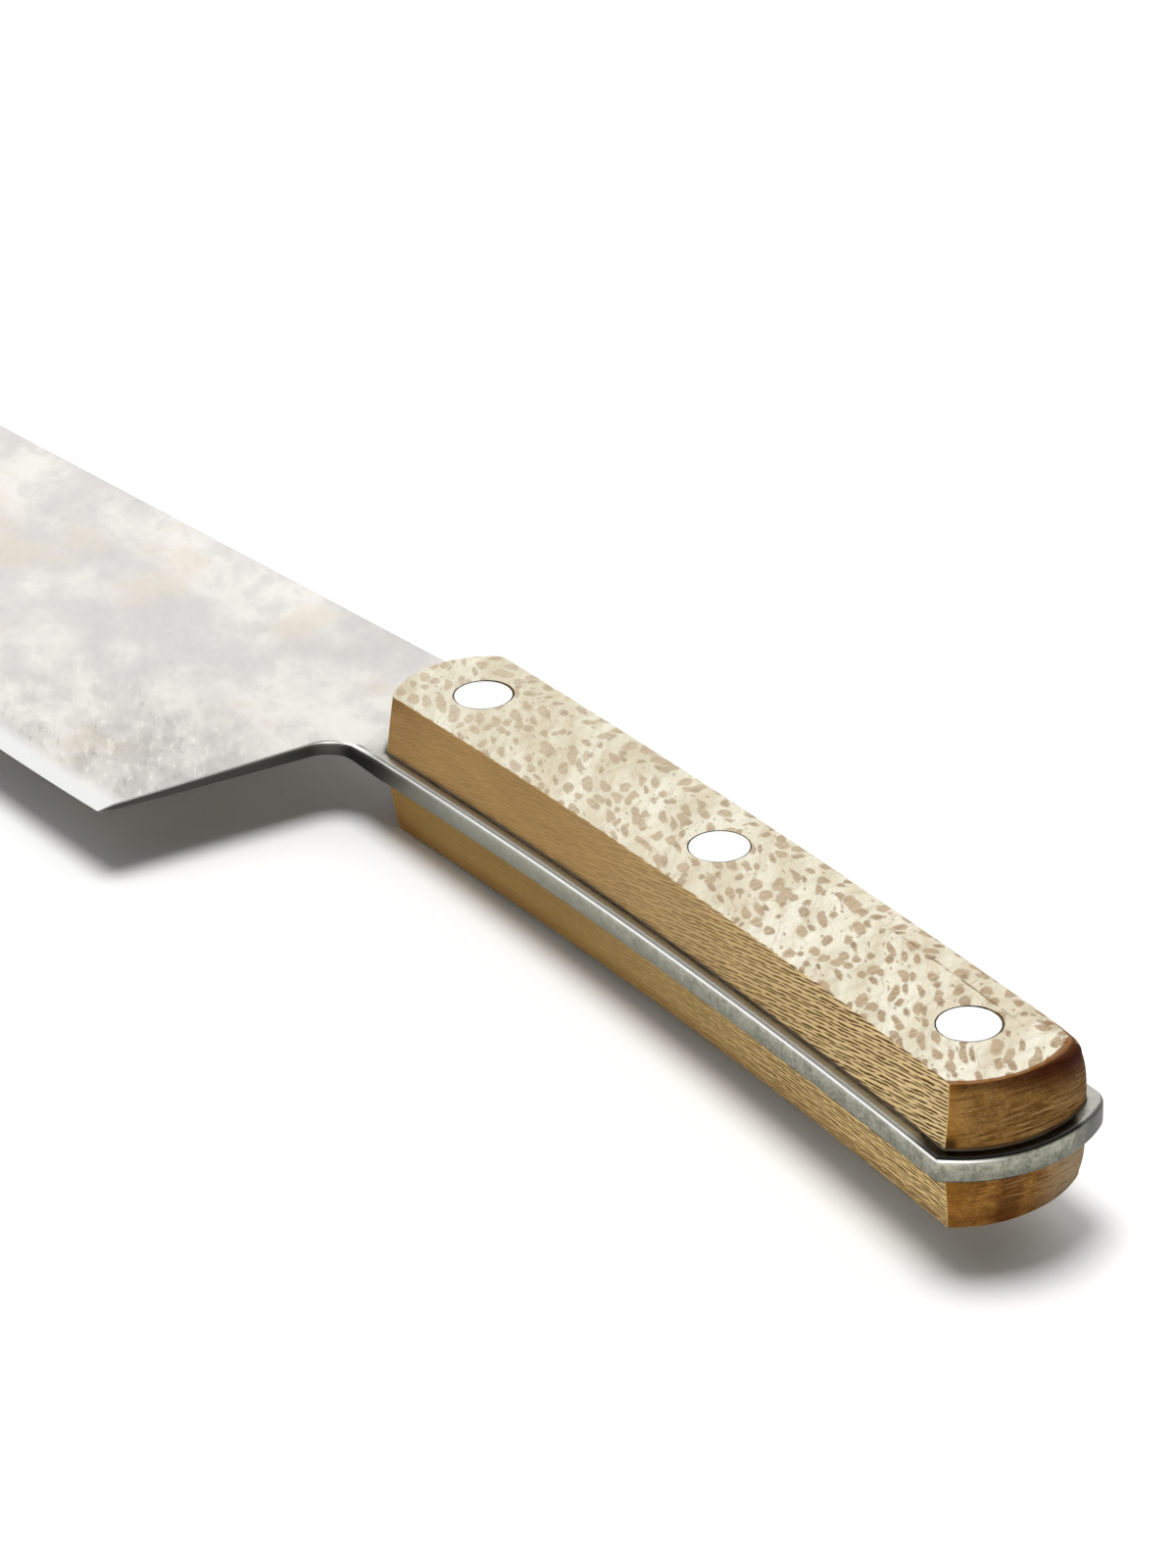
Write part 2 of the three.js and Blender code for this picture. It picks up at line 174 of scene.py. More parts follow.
# Fineness of the meshes
CORNER_STEPS = 10
END_STEPS = 40
SIDE_STEPS = 150
SIDE_ROWS = 8
WEAR_STEPS = 6
RIM_STEPS = 6
BLADE_STEPS = 110
HEEL_CORNER_STEPS = 4
HEEL_STEPS = 30
CHOIL_STEPS = 16
RICASSO_STEPS = 16
RIM_BLENDS = 6
HOLE_STEPS = 72
HEAD_RIM_STEPS = 3
GRID_STEP = 2.5
PLUNGE_GRID = 0.7
PLUNGE_FIELD = (22, 32)
PLUNGE_FIELD_CORNER = Vector((0.6, -0.4))
SHOULDER_ASIDE = 0.18
SHOULDER_START = 0.8
SHOULDER_TIP_GAP = 12
SHOULDER_CLEAR = 1
FACE_CLEAR = 0.6
SHARP_ANGLE = math.radians(42)
FILL_TOLERANCE = 1e-7
MERGE_METRES = 1e-8

# Places that follow from the sizes above and from the frame
RIVETS = ("front", "middle", "rear")
STUDS = tuple(f"{name}_rivet_stud" for name in RIVETS)
SLEEVES = tuple(f"{name}_rivet_sleeve" for name in RIVETS)
WOOD_START = BEND_START + HEEL_TO_WOOD
WOOD_LENGTH = FRONT_MARGIN + (len(RIVETS) - 1) * RIVET_PITCH + BUTT_MARGIN
WOOD_END = WOOD_START + WOOD_LENGTH
WOOD_HALF = TANG_WIDTH / 2 - TANG_LIP
WORN_CORNER = Vector((WOOD_END - 2, WOOD_HALF - 1.5))


def box_of(node):
    """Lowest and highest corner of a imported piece, in millimetres."""
    low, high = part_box(node)
    return low / MM, high / MM


def middle_of(node):
    low, high = box_of(node)
    return (low + high) / 2


LOWER_FOOT = box_of("lower_scale")[1].z
TANG_BOTTOM = box_of("lower_glue_film")[1].z
TANG_TOP = box_of("upper_glue_film")[0].z
UPPER_FOOT = box_of("upper_scale")[0].z
TOP_FACE = box_of("upper_scale")[1].z
MID = (TANG_BOTTOM + TANG_TOP) / 2
TANG_HALF = (TANG_TOP - TANG_BOTTOM) / 2
SCALE_HEIGHT = TOP_FACE - UPPER_FOOT
HEAD_RADIUS = (box_of(STUDS[0])[1].x - box_of(STUDS[0])[0].x) / 2


def rivet_place(number):
    """Place of a rivet along and across the straight handle."""
    return Vector((WOOD_START + FRONT_MARGIN + number * RIVET_PITCH, RIVET_OFFSET))


def swell_at(along, across):
    reach = 2 * (along - WOOD_START) / WOOD_LENGTH - 1
    return SPINE_SWELL * reach ** 2 * max(across, 0) / (TANG_WIDTH / 2)


def turned_place(place):
    """Place on the straight handle, turned about the middle of the handle's bend."""
    radius = BEND_RADIUS + place.y + swell_at(place.x, place.y)
    angle = place.x / BEND_RADIUS
    return Vector((radius * math.sin(angle), radius * math.cos(angle)))


BEND_CENTRE = middle_of(STUDS[0]).xy - turned_place(rivet_place(0))
HEEL = BEND_CENTRE + Vector((BEND_START, BEND_RADIUS + TANG_WIDTH / 2))


def bent(place):
    return BEND_CENTRE + turned_place(place)


# Meshes


class Skin:
    """Points and faces of one closed surface, in millimetres."""

    def __init__(self):
        self.points = []
        self.faces = []

    def ring(self, points):
        first = len(self.points)
        self.points.extend(points)
        return list(range(first, len(self.points)))

    def strip(self, low, high):
        """Quads between two closed rings of as many points."""
        for i in range(len(low)):
            j = (i + 1) % len(low)
            self.faces.append((low[i], low[j], high[j], high[i]))

    def fill(self, outer, holes=(), inner=()):
        """Triangles inside an outer ring, outside the rings of round holes, through inner points."""
        loops = [outer, *holes]
        known = [index for loop in loops for index in loop] + list(inner)
        flat = [Vector(self.points[index]).xy for index in known]
        edges = []
        for loop in loops:
            first = len(edges)
            edges.extend((first + i, first + (i + 1) % len(loop)) for i in range(len(loop)))
        found = delaunay_2d_cdt(flat, edges, [], 1, FILL_TOLERANCE)
        rounds = [self.circle_of(hole) for hole in holes]
        for face in found[2]:
            corners = [known[found[3][index][0]] for index in face]
            middle = sum((Vector(self.points[index]).xy for index in corners), Vector((0, 0))) / 3
            if all((middle - centre).length > radius for centre, radius in rounds):
                self.faces.append(tuple(corners))

    def circle_of(self, hole):
        """Middle of a ring of points and the most that a triangle inside it can lie from there."""
        flat = [Vector(self.points[index]).xy for index in hole]
        centre = sum(flat, Vector((0, 0))) / len(flat)
        return centre, min((point - centre).length for point in flat) * math.cos(math.pi / len(hole))


def mesh_of(name, skin):
    """Closed, smooth-shaded mesh in metres, with its hard corners marked."""
    build = bmesh.new()
    corners = [build.verts.new(Vector(point) * MM) for point in skin.points]
    for face in skin.faces:
        build.faces.new([corners[index] for index in face])
    bmesh.ops.remove_doubles(build, verts=build.verts, dist=MERGE_METRES)
    bmesh.ops.recalc_face_normals(build, faces=build.faces)
    mesh = bpy.data.meshes.new(name)
    build.to_mesh(mesh)
    build.free()
    mesh.shade_smooth()
    mesh.set_sharp_from_angle(angle=SHARP_ANGLE)
    return mesh


def add_piece(name, mesh):
    piece = bpy.data.objects.new(name, mesh)
    bpy.context.scene.collection.objects.link(piece)
    return piece


def arc(centre, radius, start, stop, steps):
    """Places on an arc, both ends included."""
    places = []
    for i in range(steps + 1):
        angle = start + (stop - start) * i / steps
        places.append(centre + radius * Vector((math.cos(angle), math.sin(angle))))
    return places


def circle(centre, radius, level):
    places = arc(centre, radius, 0, 2 * math.pi, HOLE_STEPS)[:-1]
    return [(place.x, place.y, level) for place in places]


def between(start, stop, steps):
    """Places on a straight stretch, without its ends."""
    return [start.lerp(stop, i / steps) for i in range(1, steps)]


def rounded(before, corner, after, radius, steps):
    """Arc in place of a corner between two straight stretches."""
    back = (before - corner).normalized()
    onward = (after - corner).normalized()
    half_angle = back.angle(onward) / 2
    middle = (back + onward).normalized()
    centre = corner + middle * radius / math.sin(half_angle)
    reach = radius / math.tan(half_angle)
    first = corner + back * reach - centre
    last = corner + onward * reach - centre
    places = []
    for i in range(steps + 1):
        places.append(centre + radius * first.slerp(last, i / steps))
    return places


def inward(places):
    """Unit directions into an outline that turns anticlockwise, one for each place."""
    directions = []
    for i, place in enumerate(places):
        run = (places[(i + 1) % len(places)] - places[i - 1]).normalized()
        directions.append(Vector((-run.y, run.x)))
    return directions


def inside(place, outline):
    """Whether a place lies inside a closed outline."""
    within = False
    for i, here in enumerate(outline):
        last = outline[i - 1]
        if (here.y > place.y) != (last.y > place.y):
            cross = last.x + (place.y - last.y) * (here.x - last.x) / (here.y - last.y)
            within = within != (place.x < cross)
    return within


def clear_places(wanted, outline, gap):
    """Those places that lie inside an outline and a gap or more from its points."""
    tree = KDTree(len(outline))
    for i, place in enumerate(outline):
        tree.insert((*place, 0), i)
    tree.balance()
    return [place for place in wanted if tree.find((*place, 0))[2] > gap and inside(place, outline)]


def smooth_step(value, low, high):
    share = min(max((value - low) / (high - low), 0), 1)
    return share * share * (3 - 2 * share)


def end_radius(half_width, bulge):
    return (half_width ** 2 + bulge ** 2) / (2 * bulge)


def handle_end(tip, outwards, radius, half_width, belly_corner, spine_corner):
    """Places round an end of the handle, from its belly side to its spine side."""
    centre = Vector((0, 0))

    def corner_middle(corner, side):
        reach = math.sqrt((radius - corner) ** 2 - (half_width - corner) ** 2)
        return Vector((reach, side * (half_width - corner)))

    belly = corner_middle(belly_corner, -1)
    spine = corner_middle(spine_corner, 1)
    start = math.atan2(belly.y, belly.x)
    stop = math.atan2(spine.y, spine.x)
    places = arc(belly, belly_corner, -math.pi / 2, start, CORNER_STEPS)
    places += arc(centre, radius, start, stop, END_STEPS)[1:-1]
    places += arc(spine, spine_corner, stop, math.pi / 2, CORNER_STEPS)
    return [Vector((tip + outwards * (place.x - radius), place.y)) for place in places]


def scale_outline(side_inset, end_inset):
    """Outline of a scale on the straight handle, turning anticlockwise from its belly side."""
    half = WOOD_HALF - side_inset
    front = handle_end(
        WOOD_START + end_inset, -1, end_radius(WOOD_HALF, FRONT_BULGE), half, BELLY_CORNER, SPINE_CORNER
    )
    butt = handle_end(
        WOOD_END - end_inset, 1, end_radius(WOOD_HALF, BUTT_BULGE), half, BELLY_CORNER, BUTT_CORNER
    )
    belly = between(front[0], butt[0], SIDE_STEPS)
    spine = between(butt[-1], front[-1], SIDE_STEPS)
    return belly + butt + spine + front[::-1]


def wear_at(place):
    """How far an outer edge of the wood is rounded by wear: least on the belly, most at the butt."""
    spine = smooth_step(place.y, SPINE_WEAR_START, SPINE_WEAR_FULL)
    corner = math.exp(-((place - WORN_CORNER).length / WEAR_REACH) ** 2)
    change = noise.noise(Vector((place.x * WEAR_WAVE_ALONG, place.y * WEAR_WAVE_ACROSS, WEAR_SEED)))
    return BELLY_WEAR + SPINE_WEAR * spine + CORNER_WEAR * corner + WEAR_CHANGE * change


def scale_skin(foot, outwards):
    """One scale on the straight handle, from its foot on the tang to its outer face."""
    skin = Skin()
    low = scale_outline(0, 0)
    high = scale_outline(SIDE_DRAFT, END_DRAFT)
    into = inward(low)
    wear = [wear_at(place) for place in low]

    def side(i, height):
        share = height / SCALE_HEIGHT
        late = LATE_TURN * smooth_step(low[i].y, 0, LATE_TURN_FULL)
        along = low[i].x + (high[i].x - low[i].x) * share ** (2 + late)
        across = low[i].y + (high[i].y - low[i].y) * share ** (1 + late)
        return Vector((along, across))

    def ring(inset_at, height_at):
        points = []
        for i in range(len(low)):
            height = height_at(i)
            place = side(i, min(height, SCALE_HEIGHT - wear[i])) + into[i] * inset_at(i)
            points.append((place.x, place.y, foot + outwards * height))
        return skin.ring(points)

    rings = []
    for row in range(SIDE_ROWS):
        share = row / SIDE_ROWS
        rings.append(ring(lambda i: 0, lambda i: (SCALE_HEIGHT - wear[i]) * share))
    for step in range(WEAR_STEPS + 1):
        angle = math.pi / 2 * step / WEAR_STEPS
        rings.append(ring(
            lambda i: wear[i] * (1 - math.cos(angle)),
            lambda i: SCALE_HEIGHT - wear[i] * (1 - math.sin(angle)),
        ))
    for lower, upper in zip(rings, rings[1:]):
        skin.strip(lower, upper)
    top = foot + outwards * SCALE_HEIGHT
    rim = [Vector(skin.points[index]).xy for index in rings[-1]]
    flat = [place + direction * SUPPORT for place, direction in zip(rim, into)]
    support = [(place.x, place.y, top) for place in clear_places(flat, rim, SUPPORT_CLEAR)]
    floor = foot + outwards * (SCALE_HEIGHT - HEAD_HEIGHT)
    mouths = []
    feet = []
    for number in range(len(RIVETS)):
        centre = rivet_place(number)
        mouth = skin.ring(circle(centre, HEAD_RADIUS + HEAD_GAP, top))
        seat = skin.ring(circle(centre, HEAD_RADIUS + HEAD_GAP, floor))
        neck = skin.ring(circle(centre, SLEEVE_RADIUS + SHANK_GAP, floor))
        base = skin.ring(circle(centre, SLEEVE_RADIUS + SHANK_GAP, foot))
        for lower, upper in ((mouth, seat), (seat, neck), (neck, base)):
            skin.strip(lower, upper)
        mouths.append(mouth)
        feet.append(base)
    skin.fill(rings[-1], mouths, skin.ring(support))
    skin.fill(rings[0], feet)
    return skin


def glue_skin(bed, foot):
    """A glue film between tang and wood on the straight handle, with its ragged squeezed-out bead."""
    skin = Skin()
    outline = scale_outline(0, 0)
    into = inward(outline)
    outwards = 1 if foot > bed else -1
    beads = []
    climbs = []
    for place in outline:
        wave = noise.noise(Vector((place.x * GLUE_WAVE, place.y * GLUE_WAVE, bed)))
        ripple = noise.noise(Vector((place.x * GLUE_RIPPLE, place.y * GLUE_RIPPLE, bed + GLUE_RIPPLE_SEED)))
        share = GLUE_MIDDLE + GLUE_WAVE_SHARE * wave + GLUE_RIPPLE_SHARE * ripple
        share = min(max(share, 0), 1)
        beads.append(GLUE_LEAST + (GLUE_MOST - GLUE_LEAST) * share)
        climbs.append(GLUE_CLIMB * share)

    def ring(share, level_at):
        points = []
        for i, place in enumerate(outline):
            spot = place - into[i] * (GLUE_STAND_OFF + beads[i] * share)
            points.append((spot.x, spot.y, level_at(i)))
        return skin.ring(points)

    rings = [
        ring(1, lambda i: bed),
        ring(0.55, lambda i: (bed + foot) / 2),
        ring(0.2, lambda i: foot + outwards * climbs[i] * 0.45),
        ring(0, lambda i: foot + outwards * climbs[i]),
        ring(0, lambda i: foot),
    ]
    for lower, upper in zip(rings, rings[1:]):
        skin.strip(lower, upper)
    low_holes = []
    high_holes = []
    for number in range(len(RIVETS)):
        centre = rivet_place(number)
        low_holes.append(skin.ring(circle(centre, SLEEVE_RADIUS + SHANK_GAP, bed)))
        high_holes.append(skin.ring(circle(centre, SLEEVE_RADIUS + SHANK_GAP, foot)))
        skin.strip(low_holes[-1], high_holes[-1])
    skin.fill(rings[0], low_holes)
    skin.fill(rings[-1], high_holes)
    return skin


# Blade and tang, with x from the heel towards the butt and y up from the spine line


def blade_share(x):
    return min(max(-x / BLADE_LENGTH, 0), 1)


def edge_line(x):
    return -BLADE_HEIGHT + (BLADE_HEIGHT - TIP_DROP) * blade_share(x) ** BELLY_POWER


def spine_line(x):
    fall = min(max((-x - BLADE_LENGTH + TIP_CURVE_LENGTH) / TIP_CURVE_LENGTH, 0), 1)
    return -TIP_DROP * fall ** 2


def half_thickness(place):
    """Half of the steel's thickness: a wedge with an edge bevel, and the plate behind the plunge."""
    x, y = place
    spine = spine_line(x)
    edge = min(edge_line(x), spine - 2 * BEVEL_WIDTH)
    shoulder = edge + BEVEL_WIDTH
    spine_half = (SPINE_THICKNESS + (TIP_THICKNESS - SPINE_THICKNESS) * blade_share(x)) / 2
    bevel_half = min(BEVEL_THICKNESS / 2, spine_half)
    if y > shoulder:
        ground = bevel_half + (spine_half - bevel_half) * (y - shoulder) / (spine - shoulder)
    else:
        ground = EDGE_FLAT / 2 + (bevel_half - EDGE_FLAT / 2) * max(y - edge, 0) / BEVEL_WIDTH
    start = PLUNGE_START - PLUNGE_SLANT * (y + TANG_WIDTH / 2)
    plate = smooth_step(x, start, start + PLUNGE_LENGTH)
    return ground + (TANG_HALF - ground) * plate


def on_tang(along, across):
    return bent(Vector((along, across))) - HEEL


def steel_outline():
    """Places round the steel with the ease of their rims, anticlockwise from the tip."""
    lead = TIP_LEAD - BLADE_LENGTH
    tip = Vector((-BLADE_LENGTH, -TIP_DROP))
    heel = Vector((0, -BLADE_HEIGHT))
    choil_along = BEND_START + HEEL_LEAN
    choil = on_tang(choil_along, -TANG_WIDTH / 2)
    tang_start = on_tang(choil_along + 2 * CHOIL_RADIUS, -TANG_WIDTH / 2)
    butt_radius = end_radius(WOOD_HALF, BUTT_BULGE) + TANG_LIP
    butt = handle_end(
        WOOD_END + TANG_LIP, 1, butt_radius, TANG_WIDTH / 2, TANG_BELLY_CORNER, TANG_SPINE_CORNER
    )
    belly_start = Vector((choil_along + 2 * CHOIL_RADIUS, -TANG_WIDTH / 2))
    spine_end = Vector((WOOD_START, TANG_WIDTH / 2))
    edge = []
    spine = []
    for i in range(BLADE_STEPS):
        edge_x = lead * (1 - i / BLADE_STEPS)
        spine_x = lead * (i + 1) / BLADE_STEPS
        edge.append(Vector((edge_x, edge_line(edge_x))))
        spine.append(Vector((spine_x, spine_line(spine_x))))
    tip_turn = rounded(Vector((lead, spine_line(lead))), tip, edge[0], TIP_RADIUS, CORNER_STEPS)
    heel_turn = rounded(edge[-1], heel, choil, HEEL_RADIUS, HEEL_CORNER_STEPS)
    choil_turn = rounded(heel, choil, tang_start, CHOIL_RADIUS, CHOIL_STEPS)
    tang_places = between(belly_start, butt[0], SIDE_STEPS)
    tang_places += butt
    tang_places += between(butt[-1], spine_end, SIDE_STEPS)
    tang_places.append(spine_end)
    tang = [on_tang(place.x, place.y) for place in tang_places]
    stretches = (
        (tip_turn, EDGE_RIM),
        (edge, EDGE_RIM),
        (heel_turn, EDGE_RIM),
        (between(heel_turn[-1], choil_turn[0], HEEL_STEPS), HEEL_RIM),
        (choil_turn, CHOIL_RIM),
        (tang, TANG_RIM),
        (between(tang[-1], spine[0], RICASSO_STEPS), SPINE_RIM),
        (spine, SPINE_RIM),
    )
    places = [place for stretch, _ in stretches for place in stretch]
    rims = [rim for stretch, rim in stretches for _ in stretch]
    for _ in range(RIM_BLENDS):
        rims = [(rims[i - 1] + rims[i] + rims[(i + 1) % len(rims)]) / 3 for i in range(len(rims))]
    return places, rims


def face_places(outline):
    """Places in the face of the blade: along the bevel's shoulder, on a grid, and finer in the plunge."""
    wanted = []
    for i in range(2 * BLADE_STEPS):
        x = -(BLADE_LENGTH - SHOULDER_TIP_GAP) * i / (2 * BLADE_STEPS) - SHOULDER_START
        for aside in (-SHOULDER_ASIDE, SHOULDER_ASIDE):
            wanted.append(Vector((x, edge_line(x) + BEVEL_WIDTH + aside)))
    for column in range(int(BLADE_LENGTH / GRID_STEP)):
        for row in range(int(BLADE_HEIGHT / GRID_STEP)):
            x = -GRID_STEP * (column + 0.5 * (row % 2))
            y = -GRID_STEP * (row + 0.5)
            if y > edge_line(x) + BEVEL_WIDTH + SHOULDER_CLEAR:
                wanted.append(Vector((x, y)))
    for column in range(int(PLUNGE_FIELD[0] / PLUNGE_GRID)):
        for row in range(int(PLUNGE_FIELD[1] / PLUNGE_GRID)):
            aside = PLUNGE_GRID * Vector((column + 0.5 * (row % 2), -row))
            wanted.append(PLUNGE_FIELD_CORNER + aside)
    return clear_places(wanted, outline, FACE_CLEAR)


def blade_skin():
    skin = Skin()
    outline, rims = steel_outline()
    into = inward(outline)
    rings = {1: [], -1: []}
    inset = []
    halves = []
    eased = []
    for place, direction, rim in zip(outline, into, rims):
        ease = min(rim, RIM_SHARE * half_thickness(place))
        spot = place + direction * ease
        eased.append(ease)
        inset.append(spot)
        halves.append(half_thickness(spot))
    for face in (1, -1):
        for step in range(RIM_STEPS + 1):
            angle = math.pi / 2 * (1 - step / RIM_STEPS)
            points = []
            for i, place in enumerate(outline):
                spot = HEEL + place + into[i] * eased[i] * (1 - math.cos(angle))
                height = halves[i] - eased[i] * (1 - math.sin(angle))
                points.append((spot.x, spot.y, MID + face * height))
            rings[face].append(skin.ring(points))
        for lower, upper in zip(rings[face], rings[face][1:]):
            skin.strip(lower, upper)
    skin.strip(rings[1][-1], rings[-1][-1])
    support = [place + direction * SUPPORT for place, direction in zip(inset, into)]
    places = clear_places(support, inset, SUPPORT_CLEAR) + face_places(inset)
    holes = {1: [], -1: []}
    for number in range(len(RIVETS)):
        centre = bent(rivet_place(number))
        for face in (1, -1):
            holes[face].append(skin.ring(circle(centre, SLEEVE_RADIUS + SHANK_GAP, MID + face * TANG_HALF)))
        skin.strip(holes[1][-1], holes[-1][-1])
    for face in (1, -1):
        points = []
        for place in places:
            spot = HEEL + place
            points.append((spot.x, spot.y, MID + face * half_thickness(place)))
        skin.fill(rings[face][0], holes[face], skin.ring(points))
    return skin


# Node trees


class Wire:
    """A node's output that takes part in Python arithmetic: each operator adds a Math node."""

    def __init__(self, nodes, socket):
        self.nodes = nodes
        self.socket = socket

    def math(self, operation, *values):
        return self.nodes.math(operation, self, *values)

    def __add__(self, other):
        return self.nodes.math("ADD", self, other)

    def __radd__(self, other):
        return self.nodes.math("ADD", other, self)

    def __sub__(self, other):
        return self.nodes.math("SUBTRACT", self, other)

    def __rsub__(self, other):
        return self.nodes.math("SUBTRACT", other, self)

    def __mul__(self, other):
        return self.nodes.math("MULTIPLY", self, other)

    def __rmul__(self, other):
        return self.nodes.math("MULTIPLY", other, self)

    def __truediv__(self, other):
        return self.nodes.math("DIVIDE", self, other)

    def __rtruediv__(self, other):
        return self.nodes.math("DIVIDE", other, self)

    def __pow__(self, other):
        return self.nodes.math("POWER", self, other)

    def __abs__(self):
        return self.nodes.math("ABSOLUTE", self)

    def step(self, low, high):
        """Smooth rise from 0 at low to 1 at high, or a fall where high is below low."""
        values = {"Value": self, "From Min": low, "From Max": high}
        return self.nodes.make("ShaderNodeMapRange", {"interpolation_type": "SMOOTHSTEP"}, values)

    def out(self, name):
        """Another output of the same node."""
        return Wire(self.nodes, self.socket.node.outputs[name])


class Nodes:
    """Adds nodes to one tree."""

    def __init__(self, tree):
        self.tree = tree

    def make(self, kind, settings=None, values=None, output=0):
        """A node of a kind, with its settings first and then its sockets' values or links."""
        node = self.tree.nodes.new(kind)
        for name, value in (settings or {}).items():
            setattr(node, name, value)
        for name, value in (values or {}).items():
            socket = node.inputs[name]
            if isinstance(value, Wire):
                self.tree.links.new(value.socket, socket)
            else:
                socket.default_value = value
        return Wire(self, node.outputs[output] if node.outputs else None)

    def math(self, operation, *values):
        return self.make("ShaderNodeMath", {"operation": operation}, dict(enumerate(values)))

    def vector(self, x, y, z=0):
        return self.make("ShaderNodeCombineXYZ", None, {"X": x, "Y": y, "Z": z})

    def split(self, wire):
        first = self.make("ShaderNodeSeparateXYZ", None, {0: wire})
        return first, first.out("Y"), first.out("Z")

    def mix(self, share, first, second):
        """Colour between two colours."""
        return self.make("ShaderNodeMix", {"data_type": "RGBA"}, {0: share, 6: first, 7: second}, 2)

    def shade(self, colour, factor):
        """A colour made lighter or darker by a number."""
        return self.make("ShaderNodeVectorMath", {"operation": "SCALE"}, {0: colour, "Scale": factor})

    def noise(self, place, scale, detail=2.0, roughness=0.5, output=0):
        values = {"Vector": place, "Scale": scale, "Detail": detail, "Roughness": roughness}
        return self.make("ShaderNodeTexNoise", None, values, output)

    def chance(self, x, y):
        """Random number for each whole-numbered place."""
        values = {"Vector": self.vector(x, y)}
        return self.make("ShaderNodeTexWhiteNoise", {"noise_dimensions": "2D"}, values)

    def bump(self, height, depth, strength=1.0):
        values = {"Height": height, "Distance": depth * MM, "Strength": strength}
        return self.make("ShaderNodeBump", None, values)


def grey(value):
    return (value, value, value, 1)


def tint(red, green, blue):
    """Colour for a socket from its values on screen, 0 to 255."""

    def linear(value):
        share = value / 255
        return share / 12.92 if share <= 0.04045 else ((share + 0.055) / 1.055) ** 2.4

    return (linear(red), linear(green), linear(blue), 1)


def new_tree(name, sizes):
    """Geometry node tree with a geometry input and output and named sizes."""
    tree = bpy.data.node_groups.new(name, "GeometryNodeTree")
    tree.interface.new_socket("Geometry", in_out="INPUT", socket_type="NodeSocketGeometry")
    for size in sizes:
        tree.interface.new_socket(size, in_out="INPUT", socket_type="NodeSocketFloat")
    tree.interface.new_socket("Finish", in_out="INPUT", socket_type="NodeSocketMaterial")
    tree.interface.new_socket("Geometry", in_out="OUTPUT", socket_type="NodeSocketGeometry")
    return Nodes(tree)


def end_tree(nodes, geometry):
    given = nodes.make("NodeGroupInput", output="Finish")
    plain = nodes.make("GeometryNodeRealizeInstances", None, {"Geometry": geometry})
    finished = nodes.make("GeometryNodeSetMaterial", None, {"Geometry": plain, "Material": given})
    nodes.make("NodeGroupOutput", None, {"Geometry": finished})


def grown(name, base, nodes, sizes, finish):
    """Piece with a plain mesh that a geometry node tree makes from a base mesh."""
    piece = add_piece(name, base)
    modifier = piece.modifiers.new("grow", "NODES")
    modifier.node_group = nodes.tree
    for item in nodes.tree.interface.items_tree:
        if item.in_out == "INPUT" and item.name in sizes:
            modifier[item.identifier] = sizes[item.name]
        if item.name == "Finish":
            modifier[item.identifier] = finish
    seen = piece.evaluated_get(bpy.context.evaluated_depsgraph_get())
    mesh = bpy.data.meshes.new_from_object(seen)
    piece.modifiers.remove(modifier)
    piece.data = mesh
    mesh.name = name
    return piece


BEND_SIZES = {
    "Bend Radius": BEND_RADIUS * MM,
    "Centre X": BEND_CENTRE.x * MM,
    "Centre Y": BEND_CENTRE.y * MM,
    "Wood Start": WOOD_START * MM,
    "Wood Length": WOOD_LENGTH * MM,
    "Spine Swell": SPINE_SWELL / (TANG_WIDTH / 2),
}


def bend_tree():
    """Bends a straight piece of the handle round the middle of the bend and swells its spine side."""
    nodes = new_tree("handle_bend", BEND_SIZES)
    given = nodes.make("NodeGroupInput")
    along, across, level = nodes.split(nodes.make("GeometryNodeInputPosition"))
    reach = 2 * (along - given.out("Wood Start")) / given.out("Wood Length") - 1
    swell = given.out("Spine Swell") * reach * reach * across.math("MAXIMUM", 0)
    radius = given.out("Bend Radius") + across + swell
    angle = along / given.out("Bend Radius")
    place = nodes.vector(
        given.out("Centre X") + radius * angle.math("SINE"),
        given.out("Centre Y") + radius * angle.math("COSINE"),
        level,
    )
    moved = nodes.make("GeometryNodeSetPosition", None, {"Geometry": given, "Position": place})
    end_tree(nodes, moved)
    return nodes


RIVET_SIZES = (
    "Head Radius", "Head Height", "Rim Round", "Shank Radius", "Shank Length", "Bore Radius", "Half Turn"
)


